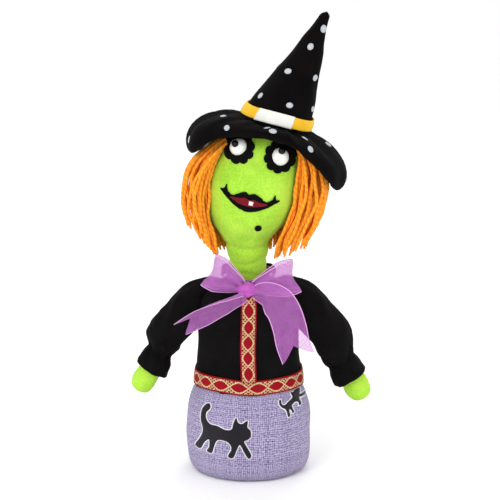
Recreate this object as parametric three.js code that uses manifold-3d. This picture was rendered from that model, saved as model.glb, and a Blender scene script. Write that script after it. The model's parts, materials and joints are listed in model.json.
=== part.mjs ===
// A soft glove puppet of a witch: wadded skirt open underneath for the hand, jacket with two sleeves,
// mitten hands, a bulb-shaped head on a finger tube, yarn hair, tied bow and a pointed hat with a brim.
// Millimetres, +Z up. The puppet faces -Y, its right-hand sleeve as seen from the front is at +X.
import * as THREE from 'three';
import { mergeVertices } from 'three/addons/utils/BufferGeometryUtils.js';
import Module from 'manifold-3d';

const wasm = await Module();
wasm.setup();

// Layers of cloth
const GAP = 0.35;
const CLOTH = 1.2;
const WADDING = 1.6;
const LINING = 0.8;

// Facets round a turned shape, and steps along a smooth profile
const FACETS = 24;
const SMALL_FACETS = 12;
const STEPS = 5;

// Skirt and jacket: [half-width, height] up the side, and how deep the body is for its width
const BODY_DEPTH = 0.84;
const SKIRT_SIDE = [[40.2, 3.4], [43.4, 12], [45.4, 34], [44, 53], [40.8, 66.2]];
const HEM_INNER = 33;
const HEM_FLAT = 36.5;
const HEM_HEIGHT = 3;
const WAIST_HEIGHT = 72;
const WAIST_ROOF_SLOPE = 0.27;
const JACKET_SIDE = [[39.6, 66.8], [38.4, 80], [36.9, 98], [37, 114], [37.6, 125], [34.5, 135], [16.5, 145]];
const NECK_OPENING = 15.4;
const BRAID_WIDTH = 11;
const BRAID_THICKNESS = 1.1;
const WAIST_BRAID = [66.8, 66.8 + BRAID_WIDTH];
const FRONT_BRAID = [WAIST_BRAID[1] + GAP, 134];
const COLLAR = { inner: 16.9, thickness: 1.8, low: 145.9, high: 154, openFront: -3 };

// Arms: the shoulder pivot, the slope of the arm, and distances down the arm from the pivot
const SHOULDER = { x: 43, z: 125 };
const ARM_ANGLE = 31;
const ARMHOLE = 14;
const SLEEVE_START = 20;
const SLEEVE_RADIUS = [[13, -30], [13, -14], [12.4, -8], [9.7, 0], [11.2, 6], [12.4, 14]];
const CUFF_LENGTH = 14;
const ELBOW_ABOVE_WRIST = 12;
const ELBOW_BEVEL = 24;
const STALL_RADIUS = 7.3;
const HAND_RADIUS = 8.6;
const HAND_THICKNESS = 0.82;
const ARMS = [
  { name: 'left', side: -1, wrist: 42, tip: 77 },
  { name: 'right', side: 1, wrist: 49, tip: 84 },
];

// Neck and finger tube
const TUBE = { inner: 8.2, outer: 9.6, low: 118, high: 167.6 };
const NECK_SIDE = [[13.4, 143.5], [13.2, 156], [14.6, 167.6]];

// Head: [half-width, height], how deep it is for its width, and [sideways lean, height]
const HEAD_SIDE = [
  [17.2, 176.5], [25.6, 186], [31.4, 198], [34, 214], [31.6, 235], [22.5, 253], [11, 261.5], [0, 264],
];
const HEAD_DEPTH = 0.93;
const HEAD_LEAN = [[-1.5, 176], [1, 190], [2.5, 212], [9, 246], [14, 264]];
const FINGER_POCKET_TOP = 214;
const FACE_TILT = 12.5;

// Face pieces: centre [x, z] on the front of the head
const EYES = [
  { name: 'left', centre: [-6.5, 245], look: [-1.2, 2.3] },
  { name: 'right', centre: [21.8, 239], look: [1.5, 3.4] },
];
const LASH_RADIUS = 11.6;
const LASH_LOBES = 10;
const FELT = 1.1;
const EYE_RADIUS = 6.3;
const PUPIL_RADIUS = 2.5;
const MOUTH = [1.5, 207.5];
const MOLE = [6.8, 188.3];
const MOLE_RADIUS = 2.4;

// Hair: how far the yarn stands off the head, where it ends, and where it opens for the face
const HAIR_SIDE = [[27, 168], [31.5, 184], [35, 205], [35, 225], [31, 240], [25, 249]];
const HAIR_THICKNESS = [7, 10];
const HAIR_FRONT = -7;
const HAIR_PARTING = 5;

// Hat: its own frame stands on the head, tilted to the side. Crown is [radius, height in that frame]
const HAT = { x: 20.9, z: 262, tilt: 15 };
const CROWN_SIDE = [
  [25.4, -1.2], [22.8, 12], [19, 25], [15.3, 38], [11.4, 52], [8.4, 62], [5.2, 70], [3.6, 78], [0, 82.9],
];
const CROWN_LEAN = 0.17;
const HAT_DEPTH = 0.95;
const BRIM = { centre: 36, height: -7.2, half: 10.5, thick: 3.6, slope: 28, stretch: 0.3, droop: 0.0055 };
const BAND = { low: 1.4, high: 9, thickness: 1 };
const PANEL = [-15, 9.5];

// Bow
const KNOT = { x: -0.4, y: -26.5, z: 143.5, size: [6.2, 4.2, 5.5] };
const RIBBON = 0.8;
const NECK_RIBBON = { inner: 14.9, low: 145.7, high: 151 };
const LOOPS = [
  { name: 'left', centre: [-18.5, 149.5], reach: 14.5, height: 8.6, turn: -14 },
  { name: 'right', centre: [19.5, 146.5], reach: 14.5, height: 8.8, turn: 10 },
];
const LOOP_PUFF = 4.2;
const TAILS = [
  {
    name: 'left',
    outline: [
      [-7, 146], [-24, 139], [-38, 133], [-51.5, 125], [-44, 121],
      [-50.8, 112.5], [-36, 119], [-22, 128], [-7, 139.5],
    ],
    start: -31.2,
    end: -25,
  },
  {
    name: 'right',
    outline: [
      [6.5, 146], [20, 141], [30, 132], [38, 116], [47.5, 103],
      [36.5, 103.5], [27.4, 89], [22.5, 104], [14, 123], [6.5, 138],
    ],
    start: -31.2,
    end: -37.5,
  },
];

const radians = THREE.MathUtils.degToRad;

// ---- Solids ----

function toSolid(geometry) {
  const bare = geometry.clone();
  bare.deleteAttribute('normal');
  bare.deleteAttribute('uv');
  const merged = mergeVertices(bare, 1e-4);
  const corners = [];
  for (let i = 0; i < merged.index.count; i += 3) {
    const [a, b, c] = [0, 1, 2].map((k) => merged.index.getX(i + k));
    if (a !== b && b !== c && c !== a) corners.push(a, b, c);
  }
  return new wasm.Manifold(new wasm.Mesh({
    numProp: 3,
    vertProperties: new Float32Array(merged.attributes.position.array),
    triVerts: new Uint32Array(corners),
  }));
}

function toGeometry(solid) {
  const { vertProperties, triVerts, numProp } = solid.getMesh();
  if (numProp !== 3) throw new Error('unexpected vertex layout');
  const geometry = new THREE.BufferGeometry();
  geometry.setAttribute('position', new THREE.BufferAttribute(new Float32Array(vertProperties), 3));
  geometry.setIndex(new THREE.BufferAttribute(new Uint32Array(triVerts), 1));
  geometry.computeVertexNormals();
  return geometry;
}

// Moves every vertex of a geometry by a function that changes a point in place.
function reshape(geometry, change) {
  const position = geometry.attributes.position;
  const point = new THREE.Vector3();
  for (let i = 0; i < position.count; i += 1) {
    point.fromBufferAttribute(position, i);
    change(point);
    position.setXYZ(i, point.x, point.y, point.z);
  }
  return geometry;
}

// ---- Profiles: lists of [radius, height], from the bottom up ----

function smooth(points, steps = STEPS) {
  const curve = new THREE.SplineCurve(points.map(([r, z]) => new THREE.Vector2(r, z)));
  return curve.getPoints(steps).map((p) => new THREE.Vector2(Math.max(p.x, 0), p.y));
}

// Height of the curve through [value, height] pairs, read as a function of height.
function valueAt(points) {
  const line = smooth(points.map(([v, z]) => [v + 1000, z]), 60);
  return (z) => {
    const i = line.findIndex((p) => p.y > z);
    if (i === 0) return line[0].x - 1000;
    if (i < 0) return line[line.length - 1].x - 1000;
    const t = (z - line[i - 1].y) / (line[i].y - line[i - 1].y);
    return THREE.MathUtils.lerp(line[i - 1].x, line[i].x, t) - 1000;
  };
}

function offset(profile, distance) {
  return profile.map((p, i) => {
    const before = profile[Math.max(i - 1, 0)];
    const after = profile[Math.min(i + 1, profile.length - 1)];
    const along = after.clone().sub(before).normalize();
    if (p.x === 0) return new THREE.Vector2(0, p.y + distance);
    return new THREE.Vector2(Math.max(p.x + along.y * distance, 0), p.y - along.x * distance);
  });
}

// Turns a closed loop of profile points about Z.
function turned(loop, facets = FACETS) {
  const geometry = new THREE.LatheGeometry([...loop, loop[0]], facets);
  return geometry.rotateX(Math.PI / 2);
}

// A layer of cloth between two offsets from a profile.
function layer(profile, from, to, facets) {
  return turned([...offset(profile, to), ...offset(profile, from).reverse()], facets);
}

// Everything inside a profile, moved outwards by an offset.
function bulk(profile, distance, facets) {
  const side = offset(profile, distance);
  const foot = new THREE.Vector2(0, side[0].y);
  const crown = new THREE.Vector2(0, side[side.length - 1].y);
  return turned([foot, ...side.filter((p) => p.x > 0), crown], facets);
}

function block(low, high) {
  const size = high.map((v, i) => v - low[i]);
  const middle = high.map((v, i) => (v + low[i]) / 2);
  return toSolid(new THREE.BoxGeometry(...size).translate(...middle));
}

function ball(radius, centre, facets = 16) {
  const ball = new THREE.SphereGeometry(radius, facets, facets / 2).rotateX(Math.PI / 2);
  return toSolid(ball.translate(...centre));
}

// ---- Materials ----

function cloth(color, roughness = 0.9) {
  return new THREE.MeshStandardMaterial({ color, roughness, metalness: 0 });
}

const MATERIALS = {
  linen: cloth('#a79ebd'),
  wadding: cloth('#f0eee8'),
  lining: cloth('#d8d2c4'),
  jersey: cloth('#1d1b1c', 0.95),
  braid: cloth('#a8202a', 0.7),
  velour: cloth('#a4dc42', 0.85),
  felt: cloth('#121112', 0.95),
  eyeWhite: cloth('#ecefe6', 0.35),
  pupil: cloth('#0a0a0a', 0.15),
  red: cloth('#8e2028', 0.8),
  tooth: cloth('#f2f2ee', 0.6),
  yarn: cloth('#f78a18', 0.95),
  hat: cloth('#242322', 0.9),
  yellow: cloth('#f0bb0c', 0.8),
  white: cloth('#ebeae8', 0.85),
  organza: cloth('#b868bc', 0.5),
  card: cloth('#c9b79a', 0.9),
};

const puppet = new THREE.Group();

function add(name, geometry, material) {
  const mesh = new THREE.Mesh(geometry, MATERIALS[material]);
  mesh.name = name;
  puppet.add(mesh);
}

// ---- Skirt ----

const flattenBody = (p) => { p.y *= BODY_DEPTH; };
const skirtSide = smooth(SKIRT_SIDE);

// The skirt's top edge slopes away to the front and back, so that the jacket can bend over it.
function waistRoof(side) {
  const reach = 60;
  const drop = reach * WAIST_ROOF_SLOPE;
  const outline = new THREE.Shape();
  outline.moveTo(0, SKIRT_SIDE.at(-1)[1]);
  outline.lineTo(side * reach, SKIRT_SIDE.at(-1)[1] - drop);
  outline.lineTo(side * reach, WAIST_HEIGHT + reach);
  outline.lineTo(0, WAIST_HEIGHT + reach);
  const prism = new THREE.ExtrudeGeometry(outline, { depth: 2 * reach, bevelEnabled: false });
  const upright = new THREE.Matrix4().makeBasis(
    new THREE.Vector3(0, 1, 0),
    new THREE.Vector3(0, 0, 1),
    new THREE.Vector3(1, 0, 0),
  );
  return toSolid(prism.translate(0, 0, -reach).applyMatrix4(upright));
}

function skirtLayer(from, to) {
  const ring = toSolid(reshape(layer(skirtSide, from, to), flattenBody));
  return toGeometry(ring.subtract(waistRoof(-1)).subtract(waistRoof(1)));
}

function hem() {
  const loop = [
    [HEM_INNER, 0], [HEM_FLAT, 0], [38.8, 1.1], [40.2, HEM_HEIGHT],
    [HEM_INNER + 1.5, HEM_HEIGHT], [HEM_INNER, 1.5],
  ];
  return reshape(turned(loop.map(([r, z]) => new THREE.Vector2(r, z))), flattenBody);
}

add('skirt_cloth', skirtLayer(-CLOTH, 0), 'linen');
add('skirt_wadding', skirtLayer(-CLOTH - GAP - WADDING, -CLOTH - GAP), 'wadding');
add('skirt_lining', skirtLayer(-CLOTH - 2 * GAP - WADDING - LINING, -CLOTH - 2 * GAP - WADDING), 'lining');
add('skirt_hem', hem(), 'linen');

// ---- Jacket and its trimmings ----

const jacketSide = smooth(JACKET_SIDE, 8);

function jacketShell(from, to) {
  return toSolid(reshape(layer(jacketSide, from, to), flattenBody));
}

function jacketBulk(distance) {
  return toSolid(reshape(bulk(jacketSide, distance), flattenBody));
}

function jacket() {
  let shell = jacketShell(-CLOTH, 0);
  for (const { side } of ARMS) shell = shell.subtract(ball(ARMHOLE, [side * SHOULDER.x, 0, SHOULDER.z]));
  const opening = new THREE.CylinderGeometry(NECK_OPENING, NECK_OPENING, 30, FACETS).rotateX(Math.PI / 2);
  return toGeometry(shell.subtract(toSolid(opening.translate(0, 0, 140))));
}

function jacketStrip(low, high) {
  const outside = jacketShell(GAP, GAP + BRAID_THICKNESS);
  return outside.intersect(block(low, high));
}

function collar() {
  const { inner, thickness, low, high, openFront } = COLLAR;
  const loop = [[inner, low], [inner + thickness, low], [inner + thickness + 1.5, high], [inner + 1.5, high]];
  const ring = toSolid(turned(loop.map(([r, z]) => new THREE.Vector2(r, z))));
  return toGeometry(ring.subtract(block([-30, -30, low - 5], [30, openFront, high + 5])));
}

add('jacket_body', jacket(), 'jersey');
const wholeGirth = 60;
const waistCorner = [-wholeGirth, -wholeGirth, WAIST_BRAID[0] - 1];
const waistStrip = jacketStrip(waistCorner, [wholeGirth, wholeGirth, WAIST_BRAID[1]]);
add('waist_braid', toGeometry(waistStrip), 'braid');
const halfBraid = BRAID_WIDTH / 2;
const frontStrip = jacketStrip([-halfBraid, -wholeGirth, FRONT_BRAID[0]], [halfBraid, 0, FRONT_BRAID[1]]);
add('front_braid', toGeometry(frontStrip), 'braid');
add('jacket_collar', collar(), 'jersey');

// ---- Arms ----

// Local frame of an arm: +Z runs down the arm from the shoulder pivot, Y stays across the body.
function armFrame(side) {
  const along = new THREE.Vector3(side * Math.sin(radians(ARM_ANGLE)), 0, -Math.cos(radians(ARM_ANGLE)));
  const across = new THREE.Vector3(0, 1, 0);
  const frame = new THREE.Matrix4().makeBasis(across.clone().cross(along), across, along);
  return frame.setPosition(side * SHOULDER.x, 0, SHOULDER.z);
}

const sleeveRadius = valueAt(SLEEVE_RADIUS);

function sleeveProfile(arm, from, to, steps) {
  return Array.from({ length: steps + 1 }, (_, i) => {
    const t = THREE.MathUtils.lerp(from, to, i / steps);
    return new THREE.Vector2(sleeveRadius(t - arm.wrist), t);
  });
}

// A wedge in the crook of the elbow, in the arm's frame: it opens towards the front of the puppet.
function elbowWedge(arm) {
  const elbow = arm.wrist - ELBOW_ABOVE_WRIST;
  const reach = 30;
  const rise = reach * Math.tan(radians(ELBOW_BEVEL));
  const outline = new THREE.Shape();
  outline.moveTo(0, 0);
  outline.lineTo(-reach, rise);
  outline.lineTo(-reach, -rise);
  const prism = new THREE.ExtrudeGeometry(outline, { depth: 2 * reach, bevelEnabled: false });
  const upright = new THREE.Matrix4().makeBasis(
    new THREE.Vector3(0, 1, 0),
    new THREE.Vector3(0, 0, 1),
    new THREE.Vector3(1, 0, 0),
  );
  return prism.translate(0, 0, -reach).applyMatrix4(upright).translate(0, 0, elbow);
}

function sleeve(arm, from, to, steps) {
  const frame = armFrame(arm.side);
  const wall = layer(sleeveProfile(arm, from, to, steps), -CLOTH, 0, SMALL_FACETS);
  const tube = toSolid(wall.applyMatrix4(frame));
  const wedge = toSolid(elbowWedge(arm).applyMatrix4(frame));
  return tube.subtract(wedge).subtract(ball(SLEEVE_START, [arm.side * SHOULDER.x, 0, SHOULDER.z]));
}

function fingerStall(arm) {
  const low = arm.wrist - ELBOW_ABOVE_WRIST + 6;
  const high = arm.wrist + 3;
  const r = STALL_RADIUS;
  const loop = [
    [0, high], [r - 1.5, high], [r, high - 2], [r, low],
    [r - LINING, low], [r - LINING, high - 2.5], [0, high - 1],
  ];
  const points = loop.map(([x, z]) => new THREE.Vector2(x, z)).reverse();
  return turned(points, SMALL_FACETS).applyMatrix4(armFrame(arm.side));
}

function hand(arm) {
  const low = arm.wrist + 3 + GAP;
  const r = HAND_RADIUS;
  const side = smooth([
    [r * 0.72, low], [r * 0.9, low + 8], [r * 1.06, arm.tip - 11], [r * 0.9, arm.tip - 3.5], [0, arm.tip],
  ]);
  const mitt = reshape(bulk(side, 0, SMALL_FACETS), (p) => { p.y *= HAND_THICKNESS; });
  return mitt.applyMatrix4(armFrame(arm.side));
}

for (const arm of ARMS) {
  const elbow = arm.wrist - ELBOW_ABOVE_WRIST;
  add(`upper_sleeve_${arm.name}`, toGeometry(sleeve(arm, SLEEVE_START / 2, elbow - GAP, 2)), 'jersey');
  add(`lower_sleeve_${arm.name}`, toGeometry(sleeve(arm, elbow + GAP, arm.wrist - GAP, 2)), 'jersey');
  add(`cuff_${arm.name}`, toGeometry(sleeve(arm, arm.wrist, arm.wrist + CUFF_LENGTH, 2)), 'jersey');
  add(`finger_stall_${arm.name}`, fingerStall(arm), 'lining');
  add(`hand_${arm.name}`, hand(arm), 'velour');
}

// ---- Neck ----

const neckSide = smooth(NECK_SIDE, 2);

function neckWadding() {
  const outside = offset(neckSide, -CLOTH - GAP);
  const inside = [...outside].reverse().map((p) => new THREE.Vector2(TUBE.outer + GAP, p.y));
  return turned([...outside, ...inside], 24);
}

const tubeLoop = [
  [TUBE.outer, TUBE.low], [TUBE.outer, TUBE.high], [TUBE.inner, TUBE.high], [TUBE.inner, TUBE.low],
];
add('neck_tube', turned(tubeLoop.map(([r, z]) => new THREE.Vector2(r, z)), 24), 'card');
add('neck_wadding', neckWadding(), 'wadding');
add('neck_skin', layer(neckSide, -CLOTH, 0, 24), 'velour');

// ---- Head ----

const headSide = smooth(HEAD_SIDE, 9);
const headLean = valueAt(HEAD_LEAN);

function leanHead(p) {
  p.y *= HEAD_DEPTH;
  p.x += headLean(p.z);
}

const headLayer = (from, to) => toSolid(reshape(layer(headSide, from, to), leanHead));
const headBulk = (distance) => toSolid(reshape(bulk(headSide, distance), leanHead));

function fingerPocket() {
  const height = 80;
  const rod = new THREE.CylinderGeometry(TUBE.inner, TUBE.inner, height, SMALL_FACETS).rotateX(Math.PI / 2);
  return toSolid(rod.translate(0, 0, FINGER_POCKET_TOP - height / 2));
}

add('head_skin', toGeometry(headLayer(-CLOTH, 0)), 'velour');
add('head_stuffing', toGeometry(headBulk(-CLOTH - GAP).subtract(fingerPocket())), 'wadding');

// ---- Face ----

// A flat outline in the tilted face plane, pushed back through the front of the head.
function facePrism(outline, [x, z]) {
  const tilt = radians(FACE_TILT);
  const frame = new THREE.Matrix4().makeBasis(
    new THREE.Vector3(Math.cos(tilt), 0, -Math.sin(tilt)),
    new THREE.Vector3(Math.sin(tilt), 0, Math.cos(tilt)),
    new THREE.Vector3(0, -1, 0),
  );
  const prism = new THREE.ExtrudeGeometry(outline, { depth: 60, bevelEnabled: false, curveSegments: 4 });
  return toSolid(prism.applyMatrix4(frame.setPosition(x, 0, z)));
}

function onFace(prism, from, to) {
  return prism.intersect(headLayer(from, to));
}

function scallopedOutline() {
  const count = LASH_LOBES * 4;
  return new THREE.Shape(Array.from({ length: count }, (_, i) => {
    const angle = (i / count) * 2 * Math.PI;
    const lobe = 0.86 + 0.14 * Math.abs(Math.sin((angle * LASH_LOBES) / 2));
    return new THREE.Vector2(LASH_RADIUS * lobe * Math.cos(angle), LASH_RADIUS * lobe * Math.sin(angle));
  }));
}

function mouthOutline(halfWidth, above, below, bow) {
  const shape = new THREE.Shape();
  shape.moveTo(-halfWidth, bow);
  shape.bezierCurveTo(-halfWidth * 0.5, 0, -halfWidth * 0.35, above, 0, above * 0.75);
  shape.bezierCurveTo(halfWidth * 0.35, above, halfWidth * 0.5, 0, halfWidth, bow);
  shape.bezierCurveTo(halfWidth * 0.4, -below * 0.9, halfWidth * 0.2, -below, 0, -below);
  shape.bezierCurveTo(-halfWidth * 0.2, -below, -halfWidth * 0.4, -below * 0.9, -halfWidth, bow);
  return shape;
}

function headFront([x, z], out) {
  const profile = valueAt(HEAD_SIDE);
  const across = x - headLean(z);
  return -HEAD_DEPTH * Math.sqrt((profile(z) + out) ** 2 - across ** 2);
}

function discOutline(radius) {
  return new THREE.Shape().absarc(0, 0, radius, 0, 2 * Math.PI, false);
}

for (const { name, centre, look } of EYES) {
  const scallops = onFace(facePrism(scallopedOutline(), centre), GAP, GAP + FELT);
  add(`lash_felt_${name}`, toGeometry(scallops), 'felt');
  const front = headFront(centre, 0.5);
  const white = ball(EYE_RADIUS, [centre[0], front, centre[1]]).subtract(headBulk(2 * GAP + FELT));
  add(`eye_white_${name}`, toGeometry(white), 'eyeWhite');
  const around = ball(EYE_RADIUS + GAP, [centre[0], front, centre[1]]);
  const depth = Math.sqrt(EYE_RADIUS ** 2 - look[0] ** 2 - look[1] ** 2);
  const pupil = ball(PUPIL_RADIUS, [centre[0] + look[0], front - depth, centre[1] + look[1]], 10);
  add(`pupil_${name}`, toGeometry(pupil.subtract(around)), 'pupil');
}

const mouthHole = facePrism(mouthOutline(12.6, 1.2, 3.2, 0.2), MOUTH);
const lips = facePrism(mouthOutline(21.5, 6.5, 8.4, 4.5), MOUTH);
const lipsOpening = facePrism(mouthOutline(13, 1.6, 3.6, 0.2), MOUTH);
add('lips', toGeometry(onFace(lips.subtract(lipsOpening), GAP, GAP + 1.4)), 'felt');
add('mouth', toGeometry(onFace(mouthHole, GAP, GAP + 0.8)), 'red');
const toothCorners = [[-0.6, -2.4], [3.4, -2.4], [3.4, 0.3], [-0.6, 0.3]];
const toothShape = new THREE.Shape(toothCorners.map(([x, y]) => new THREE.Vector2(x, y)));
add('tooth', toGeometry(onFace(facePrism(toothShape, MOUTH), 2 * GAP + 0.8, 2 * GAP + 1.7)), 'tooth');
add('mole', toGeometry(onFace(facePrism(discOutline(MOLE_RADIUS), MOLE), GAP, GAP + 1.6)), 'felt');

// ---- Hat ----

const hatFrame = new THREE.Matrix4().makeRotationY(radians(HAT.tilt)).setPosition(HAT.x, 0, HAT.z);
const crownSide = smooth(CROWN_SIDE, 6);

function leanCrown(p) {
  p.y *= HAT_DEPTH;
  p.x += p.z * CROWN_LEAN;
}

function crownPiece(geometry) {
  return reshape(geometry, leanCrown).applyMatrix4(hatFrame);
}

// A padded ring, higher at the crown, wider to the sides than to the front and drooping at both sides.
function brim(extra) {
  const { centre, height, half, thick, slope, stretch, droop } = BRIM;
  const count = 10;
  const loop = Array.from({ length: count }, (_, i) => {
    const angle = (i / count) * 2 * Math.PI;
    const point = new THREE.Vector2((half + extra) * Math.cos(angle), (thick + extra) * Math.sin(angle));
    return point.rotateAround(new THREE.Vector2(), -radians(slope)).add(new THREE.Vector2(centre, height));
  });
  const inner = centre - half;
  const outer = centre + half;
  return toSolid(reshape(turned(loop), (p) => {
    const out = (Math.hypot(p.x, p.y) - inner) / (outer - inner);
    p.x *= 1 + stretch * out;
    p.y *= HAT_DEPTH;
    p.z -= droop * p.x ** 2;
  }).applyMatrix4(hatFrame));
}

function bandRing() {
  const side = smooth(CROWN_SIDE, 60).filter((p) => p.y > BAND.low - 1 && p.y < BAND.high + 1);
  const ring = toSolid(crownPiece(layer([side[0], side.at(-1)], GAP, GAP + BAND.thickness)));
  const slice = new THREE.BoxGeometry(80, 80, BAND.high - BAND.low);
  const height = (BAND.low + BAND.high) / 2;
  return ring.intersect(toSolid(slice.translate(0, 0, height).applyMatrix4(hatFrame)));
}

function panelBlock(extra) {
  const width = PANEL[1] - PANEL[0] + 2 * extra;
  const box = new THREE.BoxGeometry(width, 40, 30).translate((PANEL[0] + PANEL[1]) / 2, -20, 5);
  return toSolid(box.applyMatrix4(hatFrame));
}

const headClear = headBulk(2 * GAP + FELT);
add('hat_brim', toGeometry(brim(0).subtract(headClear)), 'hat');
add('hat_crown', crownPiece(layer(crownSide, -CLOTH, 0)), 'hat');
const crownFill = toSolid(crownPiece(bulk(crownSide, -CLOTH - GAP)));
add('crown_stuffing', toGeometry(crownFill.subtract(headClear)), 'wadding');
add('hat_band', toGeometry(bandRing().subtract(panelBlock(GAP))), 'yellow');
add('hat_band_panel', toGeometry(bandRing().intersect(panelBlock(0))), 'white');

// ---- Hair ----

function hairMass() {
  const inner = smooth(HAIR_SIDE, 5);
  const [low, high] = [inner[0].y, inner.at(-1).y];
  const outer = inner.map((p) => {
    const rise = (p.y - low) / (high - low);
    const [thin, thick] = HAIR_THICKNESS;
    const bulge = thin + (thick - thin) * Math.sin(Math.PI * Math.sqrt(rise));
    return new THREE.Vector2(p.x + 0.8 + bulge, p.y);
  });
  const inside = inner.map((p) => new THREE.Vector2(p.x + 0.8, p.y)).reverse();
  const ring = toSolid(reshape(turned([...outer, ...inside]), leanHead));
  return ring.subtract(brim(GAP)).subtract(headClear);
}

const hair = hairMass();
const [hairLow, hairHigh] = [HAIR_SIDE[0][1] - 5, HAIR_SIDE.at(-1)[1] + 5];
const leftSide = block([-80, HAIR_FRONT, hairLow], [HAIR_PARTING - GAP / 2, 80, hairHigh]);
const rightSide = block([HAIR_PARTING + GAP / 2, HAIR_FRONT, hairLow], [90, 80, hairHigh]);
add('hair_left', toGeometry(hair.intersect(leftSide)), 'yarn');
add('hair_right', toGeometry(hair.intersect(rightSide)), 'yarn');

// ---- Bow ----

const jacketClear = jacketBulk(2 * GAP + BRAID_THICKNESS);

function knot(extra) {
  const geometry = new THREE.SphereGeometry(1, SMALL_FACETS, SMALL_FACETS / 2).rotateX(Math.PI / 2);
  geometry.scale(...KNOT.size.map((s) => s + extra));
  return toSolid(geometry.translate(KNOT.x, KNOT.y, KNOT.z)).subtract(jacketClear);
}

function loop({ centre, reach, height, turn }) {
  const geometry = new THREE.SphereGeometry(1, SMALL_FACETS, SMALL_FACETS / 2).rotateX(Math.PI / 2);
  geometry.scale(reach, LOOP_PUFF, height).rotateY(-radians(turn) * Math.sign(centre[0]) * Math.sign(turn));
  return toSolid(geometry.translate(centre[0], KNOT.y, centre[1])).subtract(knot(GAP)).subtract(jacketClear);
}

function tail({ outline, start, end }) {
  const shape = new THREE.Shape(outline.map(([x, z]) => new THREE.Vector2(x, z)));
  const upright = new THREE.Matrix4().makeRotationX(Math.PI / 2);
  const flat = new THREE.ExtrudeGeometry(shape, { depth: RIBBON, bevelEnabled: false });
  const strip = flat.applyMatrix4(upright);
  const [nearX, nearZ] = outline[0];
  const length = Math.max(...outline.map(([x, z]) => Math.hypot(x - nearX, z - nearZ)));
  reshape(strip, (p) => {
    const along = Math.hypot(p.x - nearX, p.z - nearZ) / length;
    p.y += THREE.MathUtils.lerp(start, end, Math.sqrt(along));
  });
  return toSolid(strip).subtract(knot(GAP));
}

const ribbonRing = (() => {
  const { inner, low, high } = NECK_RIBBON;
  const loopPoints = [[inner, low], [inner + RIBBON, low], [inner + RIBBON, high], [inner, high]];
  return toSolid(turned(loopPoints.map(([r, z]) => new THREE.Vector2(r, z)))).subtract(knot(GAP));
})();

add('bow_knot', toGeometry(knot(0)), 'organza');
add('neck_ribbon', toGeometry(ribbonRing), 'organza');
for (const side of LOOPS) add(`bow_loop_${side.name}`, toGeometry(loop(side)), 'organza');
for (const side of TAILS) add(`bow_tail_${side.name}`, toGeometry(tail(side)), 'organza');

export default puppet;
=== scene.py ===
# A soft witch glove puppet that stands by itself on its wadded skirt, on a pale floor.
import json
import math
import random

import bmesh
import bpy
from mathutils import Matrix, Vector, noise
from mathutils.bvhtree import BVHTree


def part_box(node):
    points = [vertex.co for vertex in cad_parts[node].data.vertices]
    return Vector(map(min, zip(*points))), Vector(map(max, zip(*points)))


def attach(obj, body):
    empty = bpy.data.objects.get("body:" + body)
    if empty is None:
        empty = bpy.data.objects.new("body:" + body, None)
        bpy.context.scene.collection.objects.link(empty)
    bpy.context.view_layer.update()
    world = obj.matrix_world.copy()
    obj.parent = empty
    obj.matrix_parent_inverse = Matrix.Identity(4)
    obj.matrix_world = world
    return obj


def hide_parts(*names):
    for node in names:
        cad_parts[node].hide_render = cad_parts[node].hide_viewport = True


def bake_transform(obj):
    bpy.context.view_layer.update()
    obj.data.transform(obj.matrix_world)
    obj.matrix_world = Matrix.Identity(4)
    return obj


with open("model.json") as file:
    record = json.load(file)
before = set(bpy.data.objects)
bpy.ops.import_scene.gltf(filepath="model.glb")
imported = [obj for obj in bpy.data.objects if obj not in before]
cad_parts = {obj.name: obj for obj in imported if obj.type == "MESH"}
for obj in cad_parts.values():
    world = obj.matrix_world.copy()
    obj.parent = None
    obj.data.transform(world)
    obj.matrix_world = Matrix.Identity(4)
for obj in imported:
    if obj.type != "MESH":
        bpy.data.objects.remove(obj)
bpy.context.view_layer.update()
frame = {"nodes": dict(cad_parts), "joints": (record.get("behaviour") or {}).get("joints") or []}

MM = 0.001

# ---- The room ----
# A pale seamless floor, a big soft key light from the front left, a weaker fill from the right and a
# light from above and behind that draws the edge of the hat and the sleeves.


def paint(hex_colour):
    """A colour written in sRGB, as the linear numbers that a shader wants."""
    parts = [int(hex_colour[i:i + 2], 16) / 255 for i in (1, 3, 5)]
    linear = [c / 12.92 if c <= 0.04045 else ((c + 0.055) / 1.055) ** 2.4 for c in parts]
    return (*linear, 1.0)


def wire(tree, kind, inputs=None, **settings):
    """Adds one node: settings are its own properties; inputs are values, or the sockets to link in, or
    the nodes whose first socket to link in."""
    made = tree.nodes.new(kind)
    for name, value in settings.items():
        setattr(made, name, value)
    for name, value in (inputs or {}).items():
        if isinstance(value, bpy.types.Node):
            value = value.outputs[0]
        if isinstance(value, bpy.types.NodeSocket):
            tree.links.new(value, made.inputs[name])
        else:
            made.inputs[name].default_value = value
    return made


def finish_named(name, **sockets):
    """A new material: its node tree, and its main shader with the given socket values."""
    material = bpy.data.materials.new(name)
    material.use_nodes = True
    shader = material.node_tree.nodes["Principled BSDF"]
    for socket, value in sockets.items():
        shader.inputs[socket.replace("_", " ")].default_value = value
    return material, material.node_tree, shader


def light_box(name, place, size, power):
    """A round soft light that points at the middle of the puppet."""
    lamp = bpy.data.lights.new(name, "AREA")
    lamp.shape = "DISK"
    lamp.size = size
    lamp.energy = power
    holder = bpy.data.objects.new(name, lamp)
    bpy.context.scene.collection.objects.link(holder)
    holder.location = place
    holder.rotation_euler = (PUPPET_MIDDLE - Vector(place)).to_track_quat("-Z", "Y").to_euler()


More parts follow.
